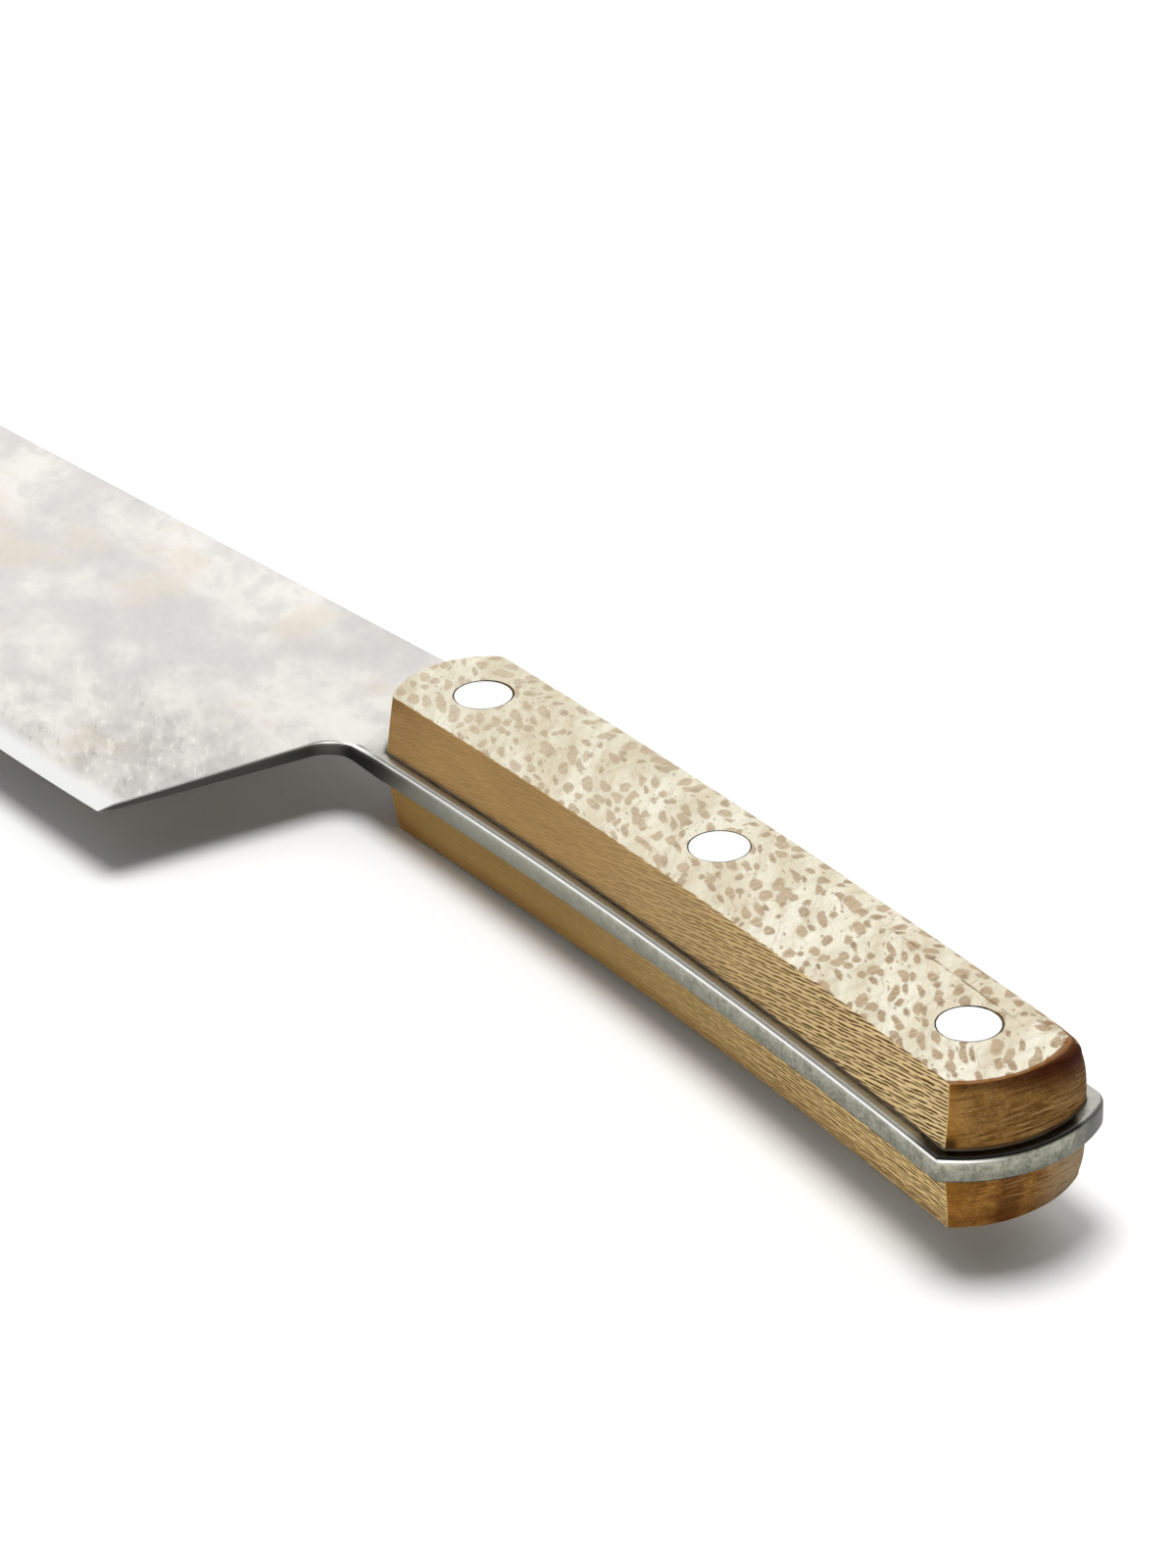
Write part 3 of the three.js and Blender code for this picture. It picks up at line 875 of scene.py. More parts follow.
def rivet_tree(name, bored):
    """Turned rivets on the base mesh's points: a head with an eased rim and a stud or a bored sleeve."""
    nodes = new_tree(name, RIVET_SIZES)
    given = nodes.make("NodeGroupInput")
    head = given.out("Head Radius")
    rim = given.out("Rim Round")
    body = given.out("Head Height") - rim
    shank = given.out("Shank Radius")
    length = given.out("Shank Length")
    solid = nodes.make(
        "GeometryNodeMeshCylinder", None, {"Vertices": HOLE_STEPS, "Radius": head, "Depth": body}
    )
    lifted = nodes.make(
        "GeometryNodeTransform", None, {"Geometry": solid, "Translation": nodes.vector(0, 0, rim + body / 2)}
    )

    def drawn(geometry, end, rise, factor):
        """Draws an end of the solid out by a rise and scales it."""
        out = nodes.make("GeometryNodeExtrudeMesh", None, {
            "Mesh": geometry, "Selection": end, "Offset": nodes.vector(0, 0, rise), "Individual": False,
        })
        scaled = nodes.make("GeometryNodeScaleElements", None, {
            "Geometry": out, "Selection": out.out("Top"), "Scale": factor,
        })
        return scaled, out.out("Top")

    shape, end = lifted, solid.out("Bottom")
    last_radius = head
    last_level = rim
    for step in range(1, HEAD_RIM_STEPS + 1):
        angle = math.pi / 2 * step / HEAD_RIM_STEPS
        radius = head - rim * (1 - math.cos(angle))
        level = rim * (1 - math.sin(angle))
        shape, end = drawn(shape, end, level - last_level, radius / last_radius)
        last_radius = radius
        last_level = level
    shape, end = drawn(shape, solid.out("Top"), 0.0, shank / head)
    shape, end = drawn(shape, end, length, 1.0)
    if bored:
        shape, end = drawn(shape, end, 0.0, given.out("Bore Radius") / shank)
        shape, end = drawn(shape, end, 0 - length, 1.0)
    points = nodes.make("GeometryNodeMeshToPoints", None, {"Mesh": given})
    turn = nodes.vector(given.out("Half Turn"), 0)
    placed = nodes.make(
        "GeometryNodeInstanceOnPoints", None, {"Points": points, "Instance": shape, "Rotation": turn}
    )
    end_tree(nodes, placed)
    return nodes


def rivets(name, level, half_turn, shank_radius, bored, finish):
    """Three rivet halves with their outer faces at a level."""
    centres = [Vector((*bent(rivet_place(number)), level)) * MM for number in range(len(RIVETS))]
    base = bpy.data.meshes.new(name)
    base.from_pydata(centres, [], [])
    sizes = {
        "Head Radius": HEAD_RADIUS * MM,
        "Head Height": HEAD_HEIGHT * MM,
        "Rim Round": RIM_ROUND * MM,
        "Shank Radius": shank_radius * MM,
        "Shank Length": (TOP_FACE - 2 * HEAD_HEIGHT - END_GAP) * MM,
        "Bore Radius": BORE_RADIUS * MM,
        "Half Turn": half_turn,
    }
    piece = grown(name, base, rivet_tree(name + "_turning", bored), sizes, finish)
    piece.data.shade_smooth()
    piece.data.set_sharp_from_angle(angle=SHARP_ANGLE)
    return piece


# Finishes


def new_finish(name):
    material = bpy.data.materials.new(name)
    material.use_nodes = True
    material.node_tree.nodes.clear()
    return material, Nodes(material.node_tree)


def end_finish(nodes, values):
    shader = nodes.make("ShaderNodeBsdfPrincipled", None, values)
    nodes.make("ShaderNodeOutputMaterial", None, {"Surface": shader})


def millimetres(nodes):
    """Object coordinates in millimetres."""
    x, y, z = nodes.split(nodes.make("ShaderNodeTexCoord", output="Object"))
    return x / MM, y / MM, z / MM


def handle_places(nodes):
    """Millimetres along, across and up the handle, ways that the surface faces, and distances from edges."""
    x, y, height = millimetres(nodes)
    east = x - BEND_CENTRE.x
    north = y - BEND_CENTRE.y
    turn = east.math("ARCTAN2", north)
    along = turn * BEND_RADIUS
    across = (east * east + north * north) ** 0.5 - BEND_RADIUS
    nx, ny, nz = nodes.split(nodes.make("ShaderNodeNewGeometry", output="Normal"))

    def past_end(end, outwards, bulge):
        """Distance outside the round end of the wood's foot."""
        radius = end_radius(WOOD_HALF, bulge)
        reach = (outwards * (along - end) + radius).math("MAXIMUM", 0)
        return (reach * reach + across * across) ** 0.5 - radius

    from_front = past_end(WOOD_START, -1, FRONT_BULGE)
    from_butt = past_end(WOOD_END, 1, BUTT_BULGE)
    upper = height.step(MID - 0.5, MID + 0.5)
    return SimpleNamespace(
        along=along,
        across=across,
        height=height,
        place=nodes.vector(along, across, height),
        run=(along - WOOD_START) / WOOD_LENGTH,
        runs=abs(nx * turn.math("COSINE") - ny * turn.math("SINE")),
        up=abs(nz),
        upper=upper,
        seed=UPPER_SEED * upper,
        from_face=TOP_FACE / 2 - abs(height - MID),
        from_foot=abs(height - MID) - (UPPER_FOOT - MID),
        from_butt=from_butt,
        from_wood=(abs(across) - WOOD_HALF).math("MAXIMUM", from_butt).math("MAXIMUM", from_front),
    )


def ray_flecks(nodes, spot):
    """Slanting flecks where the saw cut the rays, upright by the spine, and a random number for each."""
    flat = nodes.vector(spot.along, spot.across, spot.seed)
    push_along, push_across, _ = nodes.split(nodes.noise(flat, 0.15, 2.0, 0.5, 1))
    lean = spot.along + FLECK_LEAN * spot.across.math("MINIMUM", FLECK_UPRIGHT)
    lean = lean + FLECK_PUSH_ALONG * (push_along - 0.5)
    rise = spot.across + FLECK_PUSH_ACROSS * (push_across - 0.5)
    ragged = nodes.noise(nodes.vector(1.2 * lean, 0.6 * rise, spot.seed), 1.0, 5.0, 0.68) - 0.5
    fibres = nodes.noise(nodes.vector(0.6 * spot.along, 6.0 * spot.across, spot.seed), 1.0, 2.0) - 0.5

    def layer(share, least, most):
        cells = nodes.make("ShaderNodeTexVoronoi", FLECK_CELLS, {
            "Vector": nodes.vector(lean / FLECK_PITCH + spot.seed, rise / FLECK_ROW),
            "Scale": 1 / share,
            "Exponent": 2.2,
            "Smoothness": 0.35,
            "Randomness": 0.85,
        })
        luck = nodes.split(cells.out("Color"))[0]
        return (least + (most - least) * luck - cells - 0.36 * ragged - 0.16 * fibres).step(-0.06, 0.1), luck

    large, luck = layer(1, 0.22, 0.43)
    small, _ = layer(0.5, -0.36, 0.27)
    wisps = nodes.noise(nodes.vector(1.8 * lean, 0.25 * rise, spot.seed + 5), 1.0, 3.0).step(0.54, 0.72)
    return large.math("MAXIMUM", 0.8 * small).math("MAXIMUM", 0.35 * wisps), luck


def ray_dashes(nodes, spot):
    """Thin dark ends of rays: dashes in wavering, staggered, rising rows, and the gaps between the rows."""
    waver = nodes.noise(nodes.vector(0.2 * spot.along, 0.7 * spot.height, spot.seed), 1.0, 4.0, 0.6)
    climb = DASH_RISE * (0.15 + 0.85 * spot.upper)
    v = (spot.height - climb * spot.along + DASH_WAVER * (waver - 0.5)) / DASH_ROW + spot.seed
    row = v.math("FLOOR")
    u = spot.along / DASH_PITCH + DASH_STAGGER * row + DASH_STRAY * nodes.chance(row, 3.0)
    cell = u.math("FLOOR")
    luck = nodes.chance(cell, row)
    swell = nodes.noise(nodes.vector(0.5 * spot.along, 6.0 * row), 1.0, 2.0)
    body = (2 * abs(u - cell - 0.5)).step(1.0, 0.6) * (0.35 + 0.35 * luck + 0.55 * swell)
    off_row = 2 * abs(v - row - 0.5 + 0.44 * (luck - 0.5))
    return (0.5 * body - off_row).step(-0.24, 0.14), off_row


def flecked_face(nodes, spot, grain):
    """Cream wood with flecks, fine grain, pores and one dark grain line; also the flecks alone."""
    flecks, luck = ray_flecks(nodes, spot)
    clear = spot.run.step(0.05, 0.85)
    slope = spot.along + FLECK_LEAN * spot.across
    cloud = nodes.noise(nodes.vector(slope, 0.45 * spot.across, spot.seed), 0.22, 3.0, 0.6)
    streak = nodes.noise(nodes.vector(1.5 * slope, 0.3 * spot.across, spot.seed + 9), 1.0, 3.0, 0.65)
    cream = nodes.mix(cloud.step(0.34, 0.66), tint(244, 239, 219), tint(224, 214, 188))
    cream = nodes.shade(cream, 0.75 + 0.05 * clear + 0.16 * grain + 0.22 * streak)
    ribs = nodes.noise(nodes.vector(3.6 * spot.along, 0.8 * spot.across, spot.seed), 1.0, 2.0)
    fleck = nodes.mix(luck, tint(164, 141, 113), tint(190, 167, 137))
    fleck = nodes.shade(fleck, 0.62 + 0.5 * ribs + 0.26 * grain)
    colour = nodes.mix(flecks * (0.5 + 0.32 * clear + 0.18 * ribs.step(0.7, 0.3)), cream, fleck)
    pores = nodes.noise(nodes.vector(0.9 * spot.along, 3.0 * spot.across, spot.seed), 2.6, 1.0)
    pore = pores.step(0.68, 0.76) * (0.3 + 0.7 * spot.across.step(-2.0, -7.0)) * clear
    colour = nodes.mix(0.45 * pore, colour, tint(146, 114, 82))
    wander = nodes.noise(nodes.vector(spot.along, 0.0), 0.3, 3.0)
    broken = nodes.noise(nodes.vector(spot.along, 4.0), 0.45, 2.0).step(0.38, 0.56)
    line = abs(spot.across - GRAIN_LINE_ACROSS - 0.9 * (wander - 0.5)).step(0.24, 0.02) * broken
    line = line * spot.along.step(GRAIN_LINE_START, GRAIN_LINE_START + 8.0)
    line = line * spot.along.step(GRAIN_LINE_END, GRAIN_LINE_END - 6.0)
    colour = nodes.mix(0.8 * line, colour, tint(128, 100, 70))
    near_butt = spot.from_butt.step(-4.2, -3.0)
    butt_rim = (near_butt * spot.up.step(0.99, 0.92)).math("MAXIMUM", spot.from_butt.step(-2.0, -1.8))
    spine_rim = spot.across.step(6.4, 7.8) * spot.along.step(140.0, 151.0) * cloud.step(0.3, 0.6)
    colour = nodes.mix(0.9 * butt_rim.math("MAXIMUM", 0.6 * spine_rim), colour, tint(138, 84, 16))
    burnt = near_butt * spot.up.step(0.96, 0.84) * spot.across.step(-2.0, 5.0)
    return nodes.mix(0.9 * burnt, colour, tint(74, 32, 8)), flecks


def streaked_side(nodes, spot, fibre):
    """Tan wood with thin dark dashes, darker at the front partly as painted shade, with painted shade below
    and at the foot and painted highlights between the rows; also the dashes alone.
    """
    dashes, off_row = ray_dashes(nodes, spot)
    clear = spot.run.step(0.3, 0.85)
    # The tan lightens from the front to the rear, partly as the wood's own tone and partly as painted shade
    # at the front
    front = nodes.mix(spot.upper, tint(168, 137, 84), tint(188, 153, 102))
    rear = nodes.mix(spot.upper, tint(243, 214, 154), tint(236, 211, 160))
    tan = nodes.mix(spot.run.step(0.25, 1.0), front, rear)
    cloud = nodes.noise(nodes.vector(0.3 * spot.along, spot.height, spot.seed), 0.5, 3.0)
    # The tan is lighter between the rows of dashes, a painted highlight on their relief
    tan = nodes.shade(tan, 0.63 + 0.34 * fibre + 0.3 * cloud + 0.16 * off_row * clear)
    dash = nodes.mix(fibre, tint(64, 38, 10), tint(112, 76, 32))
    colour = nodes.mix(dashes * (0.16 + 0.8 * clear), tan, dash)
    scorch = spot.run.step(0.14, 0.0) * (0.35 + 0.65 * spot.from_face.step(4.5, 0.5)) * cloud.step(0.2, 0.55)
    colour = nodes.mix(0.75 * scorch, colour, tint(112, 74, 26))
    # Painted shade towards the outer edge of the lower scale's side
    painted_shade_below = spot.from_face.step(2.6, 0.0) * (1 - spot.upper)
    colour = nodes.mix(0.5 * painted_shade_below, colour, tint(116, 80, 34))
    # Painted shade along the foot of the side where the wood meets the tang, strongest at the front
    joint_shade = spot.from_foot.step(0.8, 0.0) * nodes.noise(spot.place, 0.5).step(0.25, 0.65)
    return nodes.mix((0.5 - 0.3 * clear) * joint_shade, colour, tint(78, 54, 26)), dashes


def scorched_end(nodes, spot):
    """Brown end grain: blotched and speckled, with fine light lines, burnt where it meets the face, with
    painted glare on the lower end's spine side and painted shade at the foot.
    """
    blotch = nodes.noise(spot.place, 0.26, 3.0, 0.6)
    speck = nodes.noise(spot.place, 2.4, 3.0, 0.75).step(0.3, 0.7)
    light = nodes.mix(spot.upper, tint(174, 126, 64), tint(166, 128, 74))
    dark = nodes.mix(spot.upper, tint(130, 88, 36), tint(128, 92, 46))
    colour = nodes.mix(blotch.step(0.34, 0.64), light, dark)
    colour = nodes.shade(colour, 0.76 + 0.56 * speck)
    # Painted glare that pales the spine side of the lower scale's end
    painted_glare = spot.across.step(0.0, 6.0) * (1 - spot.upper)
    colour = nodes.mix(0.8 * painted_glare, colour, tint(196, 176, 144))
    knot = abs(spot.across + 2.4 + 3 * (blotch - 0.5)).step(2.4, 0.6) * (1 - spot.upper)
    colour = nodes.mix(0.75 * knot, colour, tint(84, 40, 6))
    bow = spot.height + 0.012 * spot.across * spot.across
    lines = nodes.noise(nodes.vector(0.3 * spot.across, 5.5 * bow, spot.seed), 1.0, 2.0, 0.6)
    shown = spot.across.step(-8.0, 2.0) * (0.2 + 0.8 * spot.from_foot.step(6.0, 2.6))
    colour = nodes.mix(0.7 * lines.step(0.52, 0.68) * shown, colour, tint(206, 172, 124))
    colour = nodes.mix(0.6 * lines.step(0.48, 0.34), colour, tint(66, 36, 10))
    spine = spot.across.step(-6.0, 6.0) * spot.upper
    burn = spot.from_face / (2.4 - 1.4 * spot.upper + 2.7 * spine) + 0.8 * (blotch - 0.5)
    burnt = (0.35 + 0.35 * spot.upper + 0.3 * spine) * burn.step(1.35, 0.2)
    colour = nodes.mix(burnt, colour, tint(62, 20, 2))
    # Painted shade at the foot of the end where it meets the tang, higher at the upper scale's belly corner
    corner = spot.across.step(-7.3, -8.3) * spot.from_foot.step(1.9, 0.7) * spot.upper
    foot = (0.8 * spot.from_foot.step(0.4, 0.0)).math("MAXIMUM", corner)
    amber = spot.across.step(-6.6, -8.4) * (0.4 + 0.6 * blotch) * (0.5 + 0.5 * spot.upper)
    colour = nodes.mix(0.6 * amber, colour, tint(184, 128, 50))
    colour = nodes.mix(0.85 * foot, colour, tint(40, 20, 6))
    edge = spot.up.step(0.5, 0.7) * spot.across.step(5.0, -2.0)
    return nodes.mix(0.7 * edge, colour, tint(150, 90, 28))


def wood_finish():
    """Lace-figured wood: cream flecked faces, tan dashed sides and scorched brown ends."""
    material, nodes = new_finish("lace_wood")
    spot = handle_places(nodes)
    drawn_out = nodes.vector(0.12 * spot.along, 3.2 * spot.across, spot.height + spot.seed)
    grain = nodes.noise(drawn_out, 1.0, 3.0, 0.6)
    fibre = nodes.noise(nodes.vector(0.4 * spot.along, 5.0 * spot.height, spot.seed), 1.0, 4.0, 0.7)
    figured, flecks = flecked_face(nodes, spot, grain)
    streaked, dashes = streaked_side(nodes, spot, fibre)
    end = spot.runs.step(0.36, 0.5)
    face = (spot.up - 0.2 * dashes * (1 - end)).step(0.5, 0.86)
    sides = nodes.mix(end, streaked, scorched_end(nodes, spot))
    # Pale worn corner between the belly side and the butt, painted lighter as a highlight
    corner = spot.runs.step(0.1, 0.3) * spot.runs.step(0.62, 0.42) * spot.across.step(-7.4, -8.2)
    sides = nodes.mix(0.6 * corner, sides, tint(232, 196, 134))
    relief = 0.5 * grain + 0.35 * flecks * face - 0.8 * dashes * (1 - face) * (1 - end) + 0.5 * fibre
    end_finish(nodes, {
        "Base Color": nodes.mix(face, sides, figured),
        "Roughness": 0.5 + 0.2 * grain + 0.08 * flecks,
        "Normal": nodes.bump(relief, 0.06, 0.6),
        "Specular IOR Level": 0.06,
    })
    return material


def steel_places(nodes):
    """Places on the handle, with places from the heel and the edge, and the noises that the steel shares."""
    spot = handle_places(nodes)
    x, y, spot.z = millimetres(nodes)
    spot.x = x - HEEL.x
    spot.y = y - HEEL.y
    spot.solid = nodes.vector(spot.x, spot.y, spot.z)
    share = (0 - spot.x / BLADE_LENGTH).math("MAXIMUM", 0).math("MINIMUM", 1)
    spot.from_edge = spot.y + BLADE_HEIGHT - (BLADE_HEIGHT - TIP_DROP) * share ** BELLY_POWER
    spot.at_butt = spot.from_butt.step(-3.0, 0.0)
    spot.mottle = nodes.noise(spot.solid, 0.8, 3.0, 0.65)
    spot.grit = nodes.noise(spot.solid, 2.0, 4.0, 0.7)
    return spot


def ground_face(nodes, spot):
    """Pale clouded face of the blade, chipped and marked by the heel; also the clouds and the marks."""
    down = 0.82 * spot.x - 0.57 * spot.y
    over = 0.57 * spot.x + 0.82 * spot.y

    def drift(stretch, shift, scale, detail, roughness):
        """Noise that is drawn out along the slant of the mottling."""
        return nodes.noise(nodes.vector(stretch * down, over, spot.z + shift), scale, detail, roughness)

    clouds = drift(0.7, 0, 0.055, 5.0, 0.6)
    veins = drift(0.6, 40, 0.16, 4.0, 0.65)
    streaks = drift(0.28, 70, 1.1, 3.0, 0.65)
    patches = drift(0.6, 20, 0.2, 3.0, 0.6).step(0.62, 0.46)
    warm = nodes.noise(nodes.vector(spot.x, spot.y, 90.0), 0.07, 3.0)
    near_heel = spot.x.step(-50.0, -8.0) * spot.y.step(-18.0, -42.0)
    pale = nodes.mix(clouds.step(0.36, 0.62), tint(211, 208, 205), tint(239, 235, 229))
    pale = nodes.mix(0.45 * veins.step(0.48, 0.62), pale, tint(205, 203, 201))
    pale = nodes.mix(0.5 * warm.step(0.55, 0.68), pale, tint(224, 212, 193))
    pale = nodes.shade(pale, 0.96 + 0.08 * spot.mottle + (0.06 + 0.16 * near_heel) * (streaks - 0.5))
    pale = nodes.shade(pale, 1 - (0.1 + 0.14 * patches) * near_heel - 0.06 * spot.x.step(-26.0, -6.0))
    chips = streaks.step(0.56, 0.7) * near_heel
    pale = nodes.mix(0.5 * chips, pale, tint(244, 239, 228))
    marks = streaks.step(0.42, 0.32) * spot.mottle.step(0.48, 0.6) * (0.06 + near_heel)
    pale = nodes.mix(0.5 * marks, pale, tint(150, 144, 134))
    by_bevel = spot.from_edge.step(BEVEL_WIDTH + 2.0, BEVEL_WIDTH)
    return nodes.mix(0.6 * by_bevel, pale, tint(238, 237, 235)), clouds, marks


def wall_with_painted_shade(nodes, spot):
    """Speckled wall of the steel with painted shade, darker towards its bottom, by the choil and at the
    butt's spine corner, and an upper rim painted bright.
    """
    spots = 0.5 * spot.grit.step(0.3, 0.7) + 0.5 * spot.mottle.step(0.3, 0.7)
    spots = 0.5 + (spots - 0.5) * (0.3 + 0.7 * spot.run.step(0.2, 0.8))
    wall = nodes.mix(spots, tint(98, 98, 86), tint(170, 170, 156))
    # Painted shade: the wall is darker towards its bottom and towards the front of the wood
    rise = 0.66 + 0.48 * spot.z.step(TANG_BOTTOM, TANG_TOP)
    wall = nodes.shade(wall, rise * (0.8 + 0.2 * spot.run.step(0.1, 0.24)))
    # Painted shade and dark reflection by the choil and at the butt's spine corner
    painted_dark = spot.x.step(22.0, 12.0).math("MAXIMUM", spot.across.step(2.0, 9.0) * spot.at_butt)
    wall = nodes.mix(0.9 * painted_dark, wall, tint(58, 58, 56))
    polished = nodes.mix(spot.mottle, tint(226, 226, 223), tint(246, 246, 244))
    # Polished rim, painted bright as a highlight on the upper side only and not along the butt's belly end
    polish_and_highlight = spot.up.step(0.02, 0.2) * spot.upper * (1 - spot.at_butt * spot.across.step(-7.0, -3.0))
    return nodes.mix(polish_and_highlight, wall, polished)


def dull_lip(nodes, spot):
    """Dull lip of the tang round the wood, with painted shade beside the wood and all over at the butt."""
    # Painted shade and dark reflection where the butt of the wood stands over the lip, except at the spine
    # corner
    butt_shade = spot.at_butt * spot.across.step(6.8, 5.2)
    dull = nodes.mix(spot.grit, tint(150, 149, 141), tint(206, 205, 197))
    # Painted shade: darker at the butt, and where the lip rounds down towards its rim
    dull = nodes.shade(dull, (1 - 0.85 * butt_shade) * (1 - 0.6 * spot.up.step(0.99, 0.8)))
    # Painted shade beside the wood, deepest at the butt, standing in for the wood's shadow on the lip
    painted_shade_by_wood = (spot.from_wood - 0.7 * butt_shade).step(0.8, 0.05)
    painted_shade_by_wood = painted_shade_by_wood * (0.6 + 0.4 * spot.mottle.step(0.3, 0.6))
    return nodes.mix(painted_shade_by_wood, dull, tint(30, 27, 22))


def steel_finish():
    """Tumbled steel: pale streaked faces, a bright ground bevel, marks by the heel and a dull tang with
    painted shade and highlights.
    """
    material, nodes = new_finish("mottled_steel")
    spot = steel_places(nodes)
    pale, clouds, marks = ground_face(nodes, spot)
    face = spot.up.step(0.75, 0.97)
    tang = spot.along.step(WOOD_START - 1.0, WOOD_START + 5.0)
    lip = face + (spot.up.step(0.44, 0.62) - face) * tang
    colour = nodes.mix(lip, wall_with_painted_shade(nodes, spot), nodes.mix(tang, pale, dull_lip(nodes, spot)))
    bevel = spot.from_edge.step(BEVEL_WIDTH + 0.3, BEVEL_WIDTH - 0.3) * spot.x.step(14.0, 6.0) * face
    scratch = nodes.noise(nodes.vector(0.3 * spot.x, 6.0 * spot.from_edge, 0.0), 1.0, 2.0)
    ground = nodes.mix(scratch, tint(222, 222, 221), tint(236, 236, 235))
    fine = nodes.noise(spot.solid, 6.0, 2.0)
    relief = 0.3 * spot.mottle + 0.25 * fine * (1 - bevel) - 0.6 * marks
    end_finish(nodes, {
        "Base Color": nodes.mix(bevel, colour, ground),
        "Metallic": 1.0,
        "Roughness": 0.3 + 0.1 * clouds + 0.06 * spot.mottle - 0.06 * bevel,
        "Normal": nodes.bump(relief, 0.03, 0.4),
    })
    return material


def rivet_finish():
    """Rivet heads sanded flush and polished, with a faint haze and straight scratches."""
    material, nodes = new_finish("polished_rivet")
    x, y, z = millimetres(nodes)
    haze = nodes.noise(nodes.vector(x, y, z), 0.7, 3.0)
    scratch = nodes.noise(nodes.vector(7.0 * x, 0.5 * y, z), 1.0, 3.0)
    end_finish(nodes, {
        "Base Color": nodes.mix(haze, tint(244, 244, 244), tint(252, 252, 251)),
        "Metallic": 1.0,
        "Roughness": 0.2 + 0.14 * haze + 0.08 * scratch,
        "Normal": nodes.bump(scratch, 0.008, 0.5),
    })
    return material


def glue_finish():
    """Dark cured resin, glossy where it ran and dusty elsewhere."""
    material, nodes = new_finish("dark_glue")
    dust = nodes.noise(nodes.vector(*millimetres(nodes)), 1.2, 3.0)
    end_finish(nodes, {
        "Base Color": nodes.mix(dust, tint(42, 32, 20), tint(86, 68, 44)),
        "Roughness": 0.4 + 0.35 * dust,
        "Normal": nodes.bump(dust, 0.05, 0.5),
    })
    return material


# The knife


def dress(piece, slot, *nodes):
    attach(piece, "root")
    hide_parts(*nodes)


def make_knife():
    wood = wood_finish()
    glue = glue_finish()
    rivet = rivet_finish()
    bend = bend_tree()
    steel = add_piece("blade_steel", mesh_of("blade_steel", blade_skin()))
    steel.data.materials.append(steel_finish())
    dress(steel, "steel", "blade")
    halves = (("lower", LOWER_FOOT, -1, TANG_BOTTOM), ("upper", UPPER_FOOT, 1, TANG_TOP))
    for name, foot, outwards, bed in halves:
        straight = mesh_of(f"{name}_straight_scale", scale_skin(foot, outwards))
        dress(grown(f"{name}_wood", straight, bend, BEND_SIZES, wood), "wood", f"{name}_scale")
        film = mesh_of(f"{name}_straight_glue", glue_skin(bed, foot))
        dress(grown(f"{name}_glue", film, bend, BEND_SIZES, glue), "glue", f"{name}_glue_film")
    dress(rivets("rivet_studs", TOP_FACE, math.pi, STUD_RADIUS, False, rivet), "rivet", *STUDS)
    dress(rivets("rivet_sleeves", 0.0, 0.0, SLEEVE_RADIUS, True, rivet), "rivet", *SLEEVES)


# Floor, light and camera

FLOOR_RADIUS = 15000
FLOOR_TOUCH = Vector((47, 0))
TIP_TOUCH = Vector((-162, 8.45))
FLOOR_WHITE = 1.16
FLOOR_BOUNCE = 0.5
BRIGHT_SIDE = Vector((-0.77, 0.64, 0.3))
MIRROR_SIDE = Vector((-0.72, -0.52, 0.46))
DIM_SKY = 0.03
METAL_SKY = 0.4
WHITE_SKY = 1.1
BRIGHT_SKY = 1.12
MIRROR_SKY = 1.65
KEY_LAMP = {
    "side": Vector((-0.16, 0.0, 1)),
    "energy": 1.85,
    "angle": math.radians(28),
    "colour": (1, 1, 1),
}
LOW_LAMP = {
    "side": Vector((0.6, -0.8, 0.04)),
    "energy": 1.45,
    "angle": math.radians(5),
    "colour": (1, 0.93, 0.8),
}
CAMERA_AIM = Vector((82.13, 10.02, 17.9))
CAMERA_DISTANCE = 562.47
CAMERA_AZIMUTH = math.radians(-39.717)
CAMERA_ELEVATION = math.radians(29.092)
CAMERA_ROLL = math.radians(-1.694)
CAMERA_LENS = 112.5
CAMERA_SENSOR = 36
CAMERA_CLIP_METRES = (0.01, 100)


def make_floor():
    """Pale floor that the front of the lower scale and the tip of the blade rest on."""
    skin = Skin()
    slope = (TIP_TOUCH.y - FLOOR_TOUCH.y) / (TIP_TOUCH.x - FLOOR_TOUCH.x)
    rim = []
    for x, y, _ in circle(Vector((0, 0)), FLOOR_RADIUS, 0):
        rim.append((x, y, FLOOR_TOUCH.y + slope * (x - FLOOR_TOUCH.x)))
    skin.faces.append(tuple(skin.ring(rim)))
    floor = add_piece("floor", mesh_of("floor", skin))
    material, nodes = new_finish("floor_paper")
    path = nodes.make("ShaderNodeLightPath", output="Is Camera Ray")
    shown = path.math("MAXIMUM", path.out("Is Glossy Ray")).math("MAXIMUM", path.out("Is Transmission Ray"))
    shown = shown * path.out("Diffuse Depth").math("LESS_THAN", 1)
    paper = nodes.mix(shown, grey(FLOOR_BOUNCE), grey(FLOOR_WHITE))
    surface = nodes.make("ShaderNodeBsdfDiffuse", None, {"Color": paper})
    nodes.make("ShaderNodeOutputMaterial", None, {"Surface": surface})
    floor.data.materials.append(material)
    floor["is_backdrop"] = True


def add_lamp(name, side, energy, angle, colour):
    """A far lamp that shines from a side."""
    light = bpy.data.lights.new(name, "SUN")
    light.energy = energy
    light.angle = angle
    light.color = colour
    lamp = bpy.data.objects.new(name, light)
    lamp.rotation_mode = "QUATERNION"
    lamp.rotation_quaternion = side.to_track_quat("Z", "Y")
    bpy.context.scene.collection.objects.link(lamp)
    return lamp


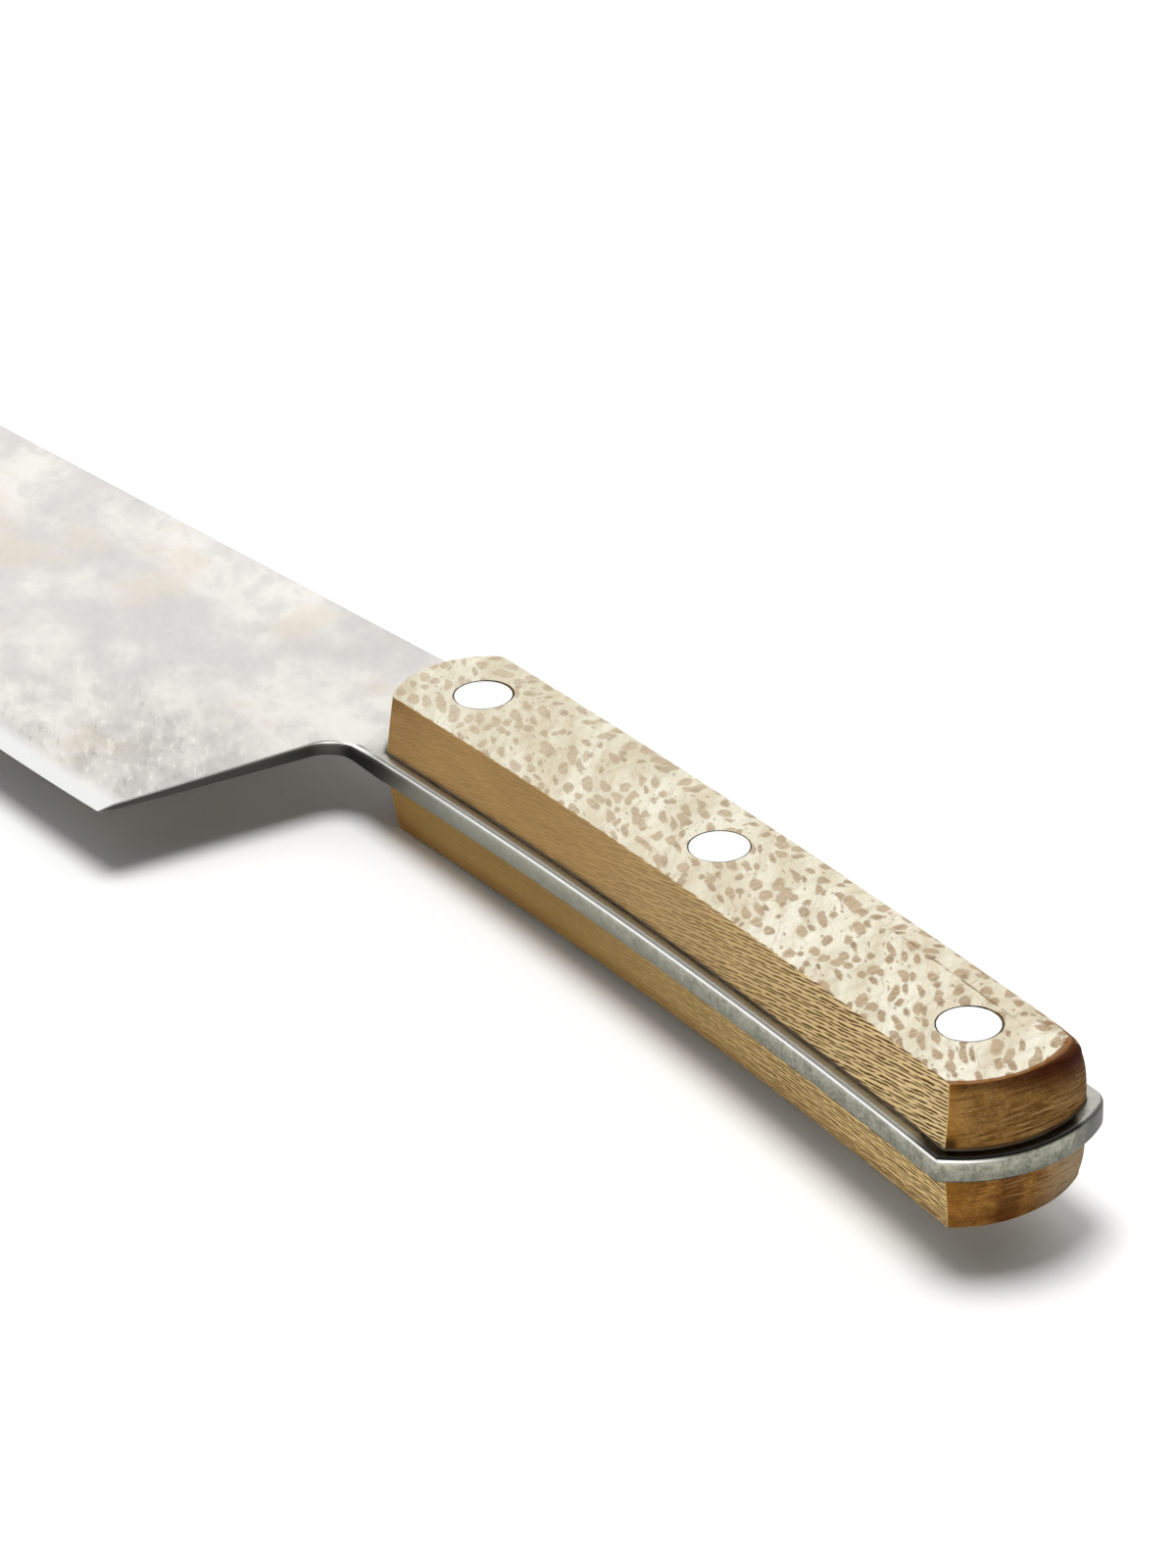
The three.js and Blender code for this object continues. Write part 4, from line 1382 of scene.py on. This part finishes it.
def make_light():
    """A lamp above, a low one on the near side, and a sky bright on the far side, with a patch for metal."""
    scene = bpy.context.scene
    scene.view_settings.view_transform = "Standard"
    world = bpy.data.worlds.new("studio")
    scene.world = world
    world.use_nodes = True
    world.node_tree.nodes.clear()
    nodes = Nodes(world.node_tree)
    way = nodes.make("ShaderNodeTexCoord", output="Generated")

    def toward(side):
        """How far a direction in the sky points to a side."""
        values = {0: way, 1: side.normalized()}
        return nodes.make("ShaderNodeVectorMath", {"operation": "DOT_PRODUCT"}, values, "Value")

    path = nodes.make("ShaderNodeLightPath", output="Is Camera Ray")
    glossy = path.out("Is Glossy Ray")
    far = BRIGHT_SKY * toward(BRIGHT_SIDE).step(0.05, 0.75)
    near = MIRROR_SKY * toward(MIRROR_SIDE).step(0.72, 0.92) * glossy
    lit = far.math("MAXIMUM", near).math("MAXIMUM", METAL_SKY * glossy)
    strength = DIM_SKY + lit * nodes.split(way)[2].step(0.02, 0.2)
    strength = strength.math("MAXIMUM", WHITE_SKY * path)
    glow = nodes.make("ShaderNodeBackground", None, {"Color": grey(1), "Strength": strength})
    nodes.make("ShaderNodeOutputWorld", None, {"Surface": glow})
    key = add_lamp("key", **KEY_LAMP)
    key.visible_glossy = False
    add_lamp("low_fill", **LOW_LAMP)


def make_camera():
    scene = bpy.context.scene
    flat = math.cos(CAMERA_ELEVATION)
    back = Vector((
        flat * math.cos(CAMERA_AZIMUTH), flat * math.sin(CAMERA_AZIMUTH), math.sin(CAMERA_ELEVATION)
    ))
    right = Vector((0, 0, 1)).cross(back).normalized()
    up = back.cross(right)
    side = math.cos(CAMERA_ROLL) * right + math.sin(CAMERA_ROLL) * up
    top = math.cos(CAMERA_ROLL) * up - math.sin(CAMERA_ROLL) * right
    lens = bpy.data.cameras.new("view")
    lens.lens = CAMERA_LENS
    lens.sensor_width = CAMERA_SENSOR
    lens.clip_start, lens.clip_end = CAMERA_CLIP_METRES
    camera = bpy.data.objects.new("view", lens)
    place = (CAMERA_AIM + back * CAMERA_DISTANCE) * MM
    turn = Matrix((side, top, back)).transposed().to_4x4()
    camera.matrix_world = Matrix.Translation(place) @ turn
    scene.collection.objects.link(camera)
    scene.camera = camera


make_camera()
make_light()
make_floor()
make_knife()

boxes = {"cad": cad_box, "visual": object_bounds()}
{name: [list(corner) for corner in box] for name, box in boxes.items()}
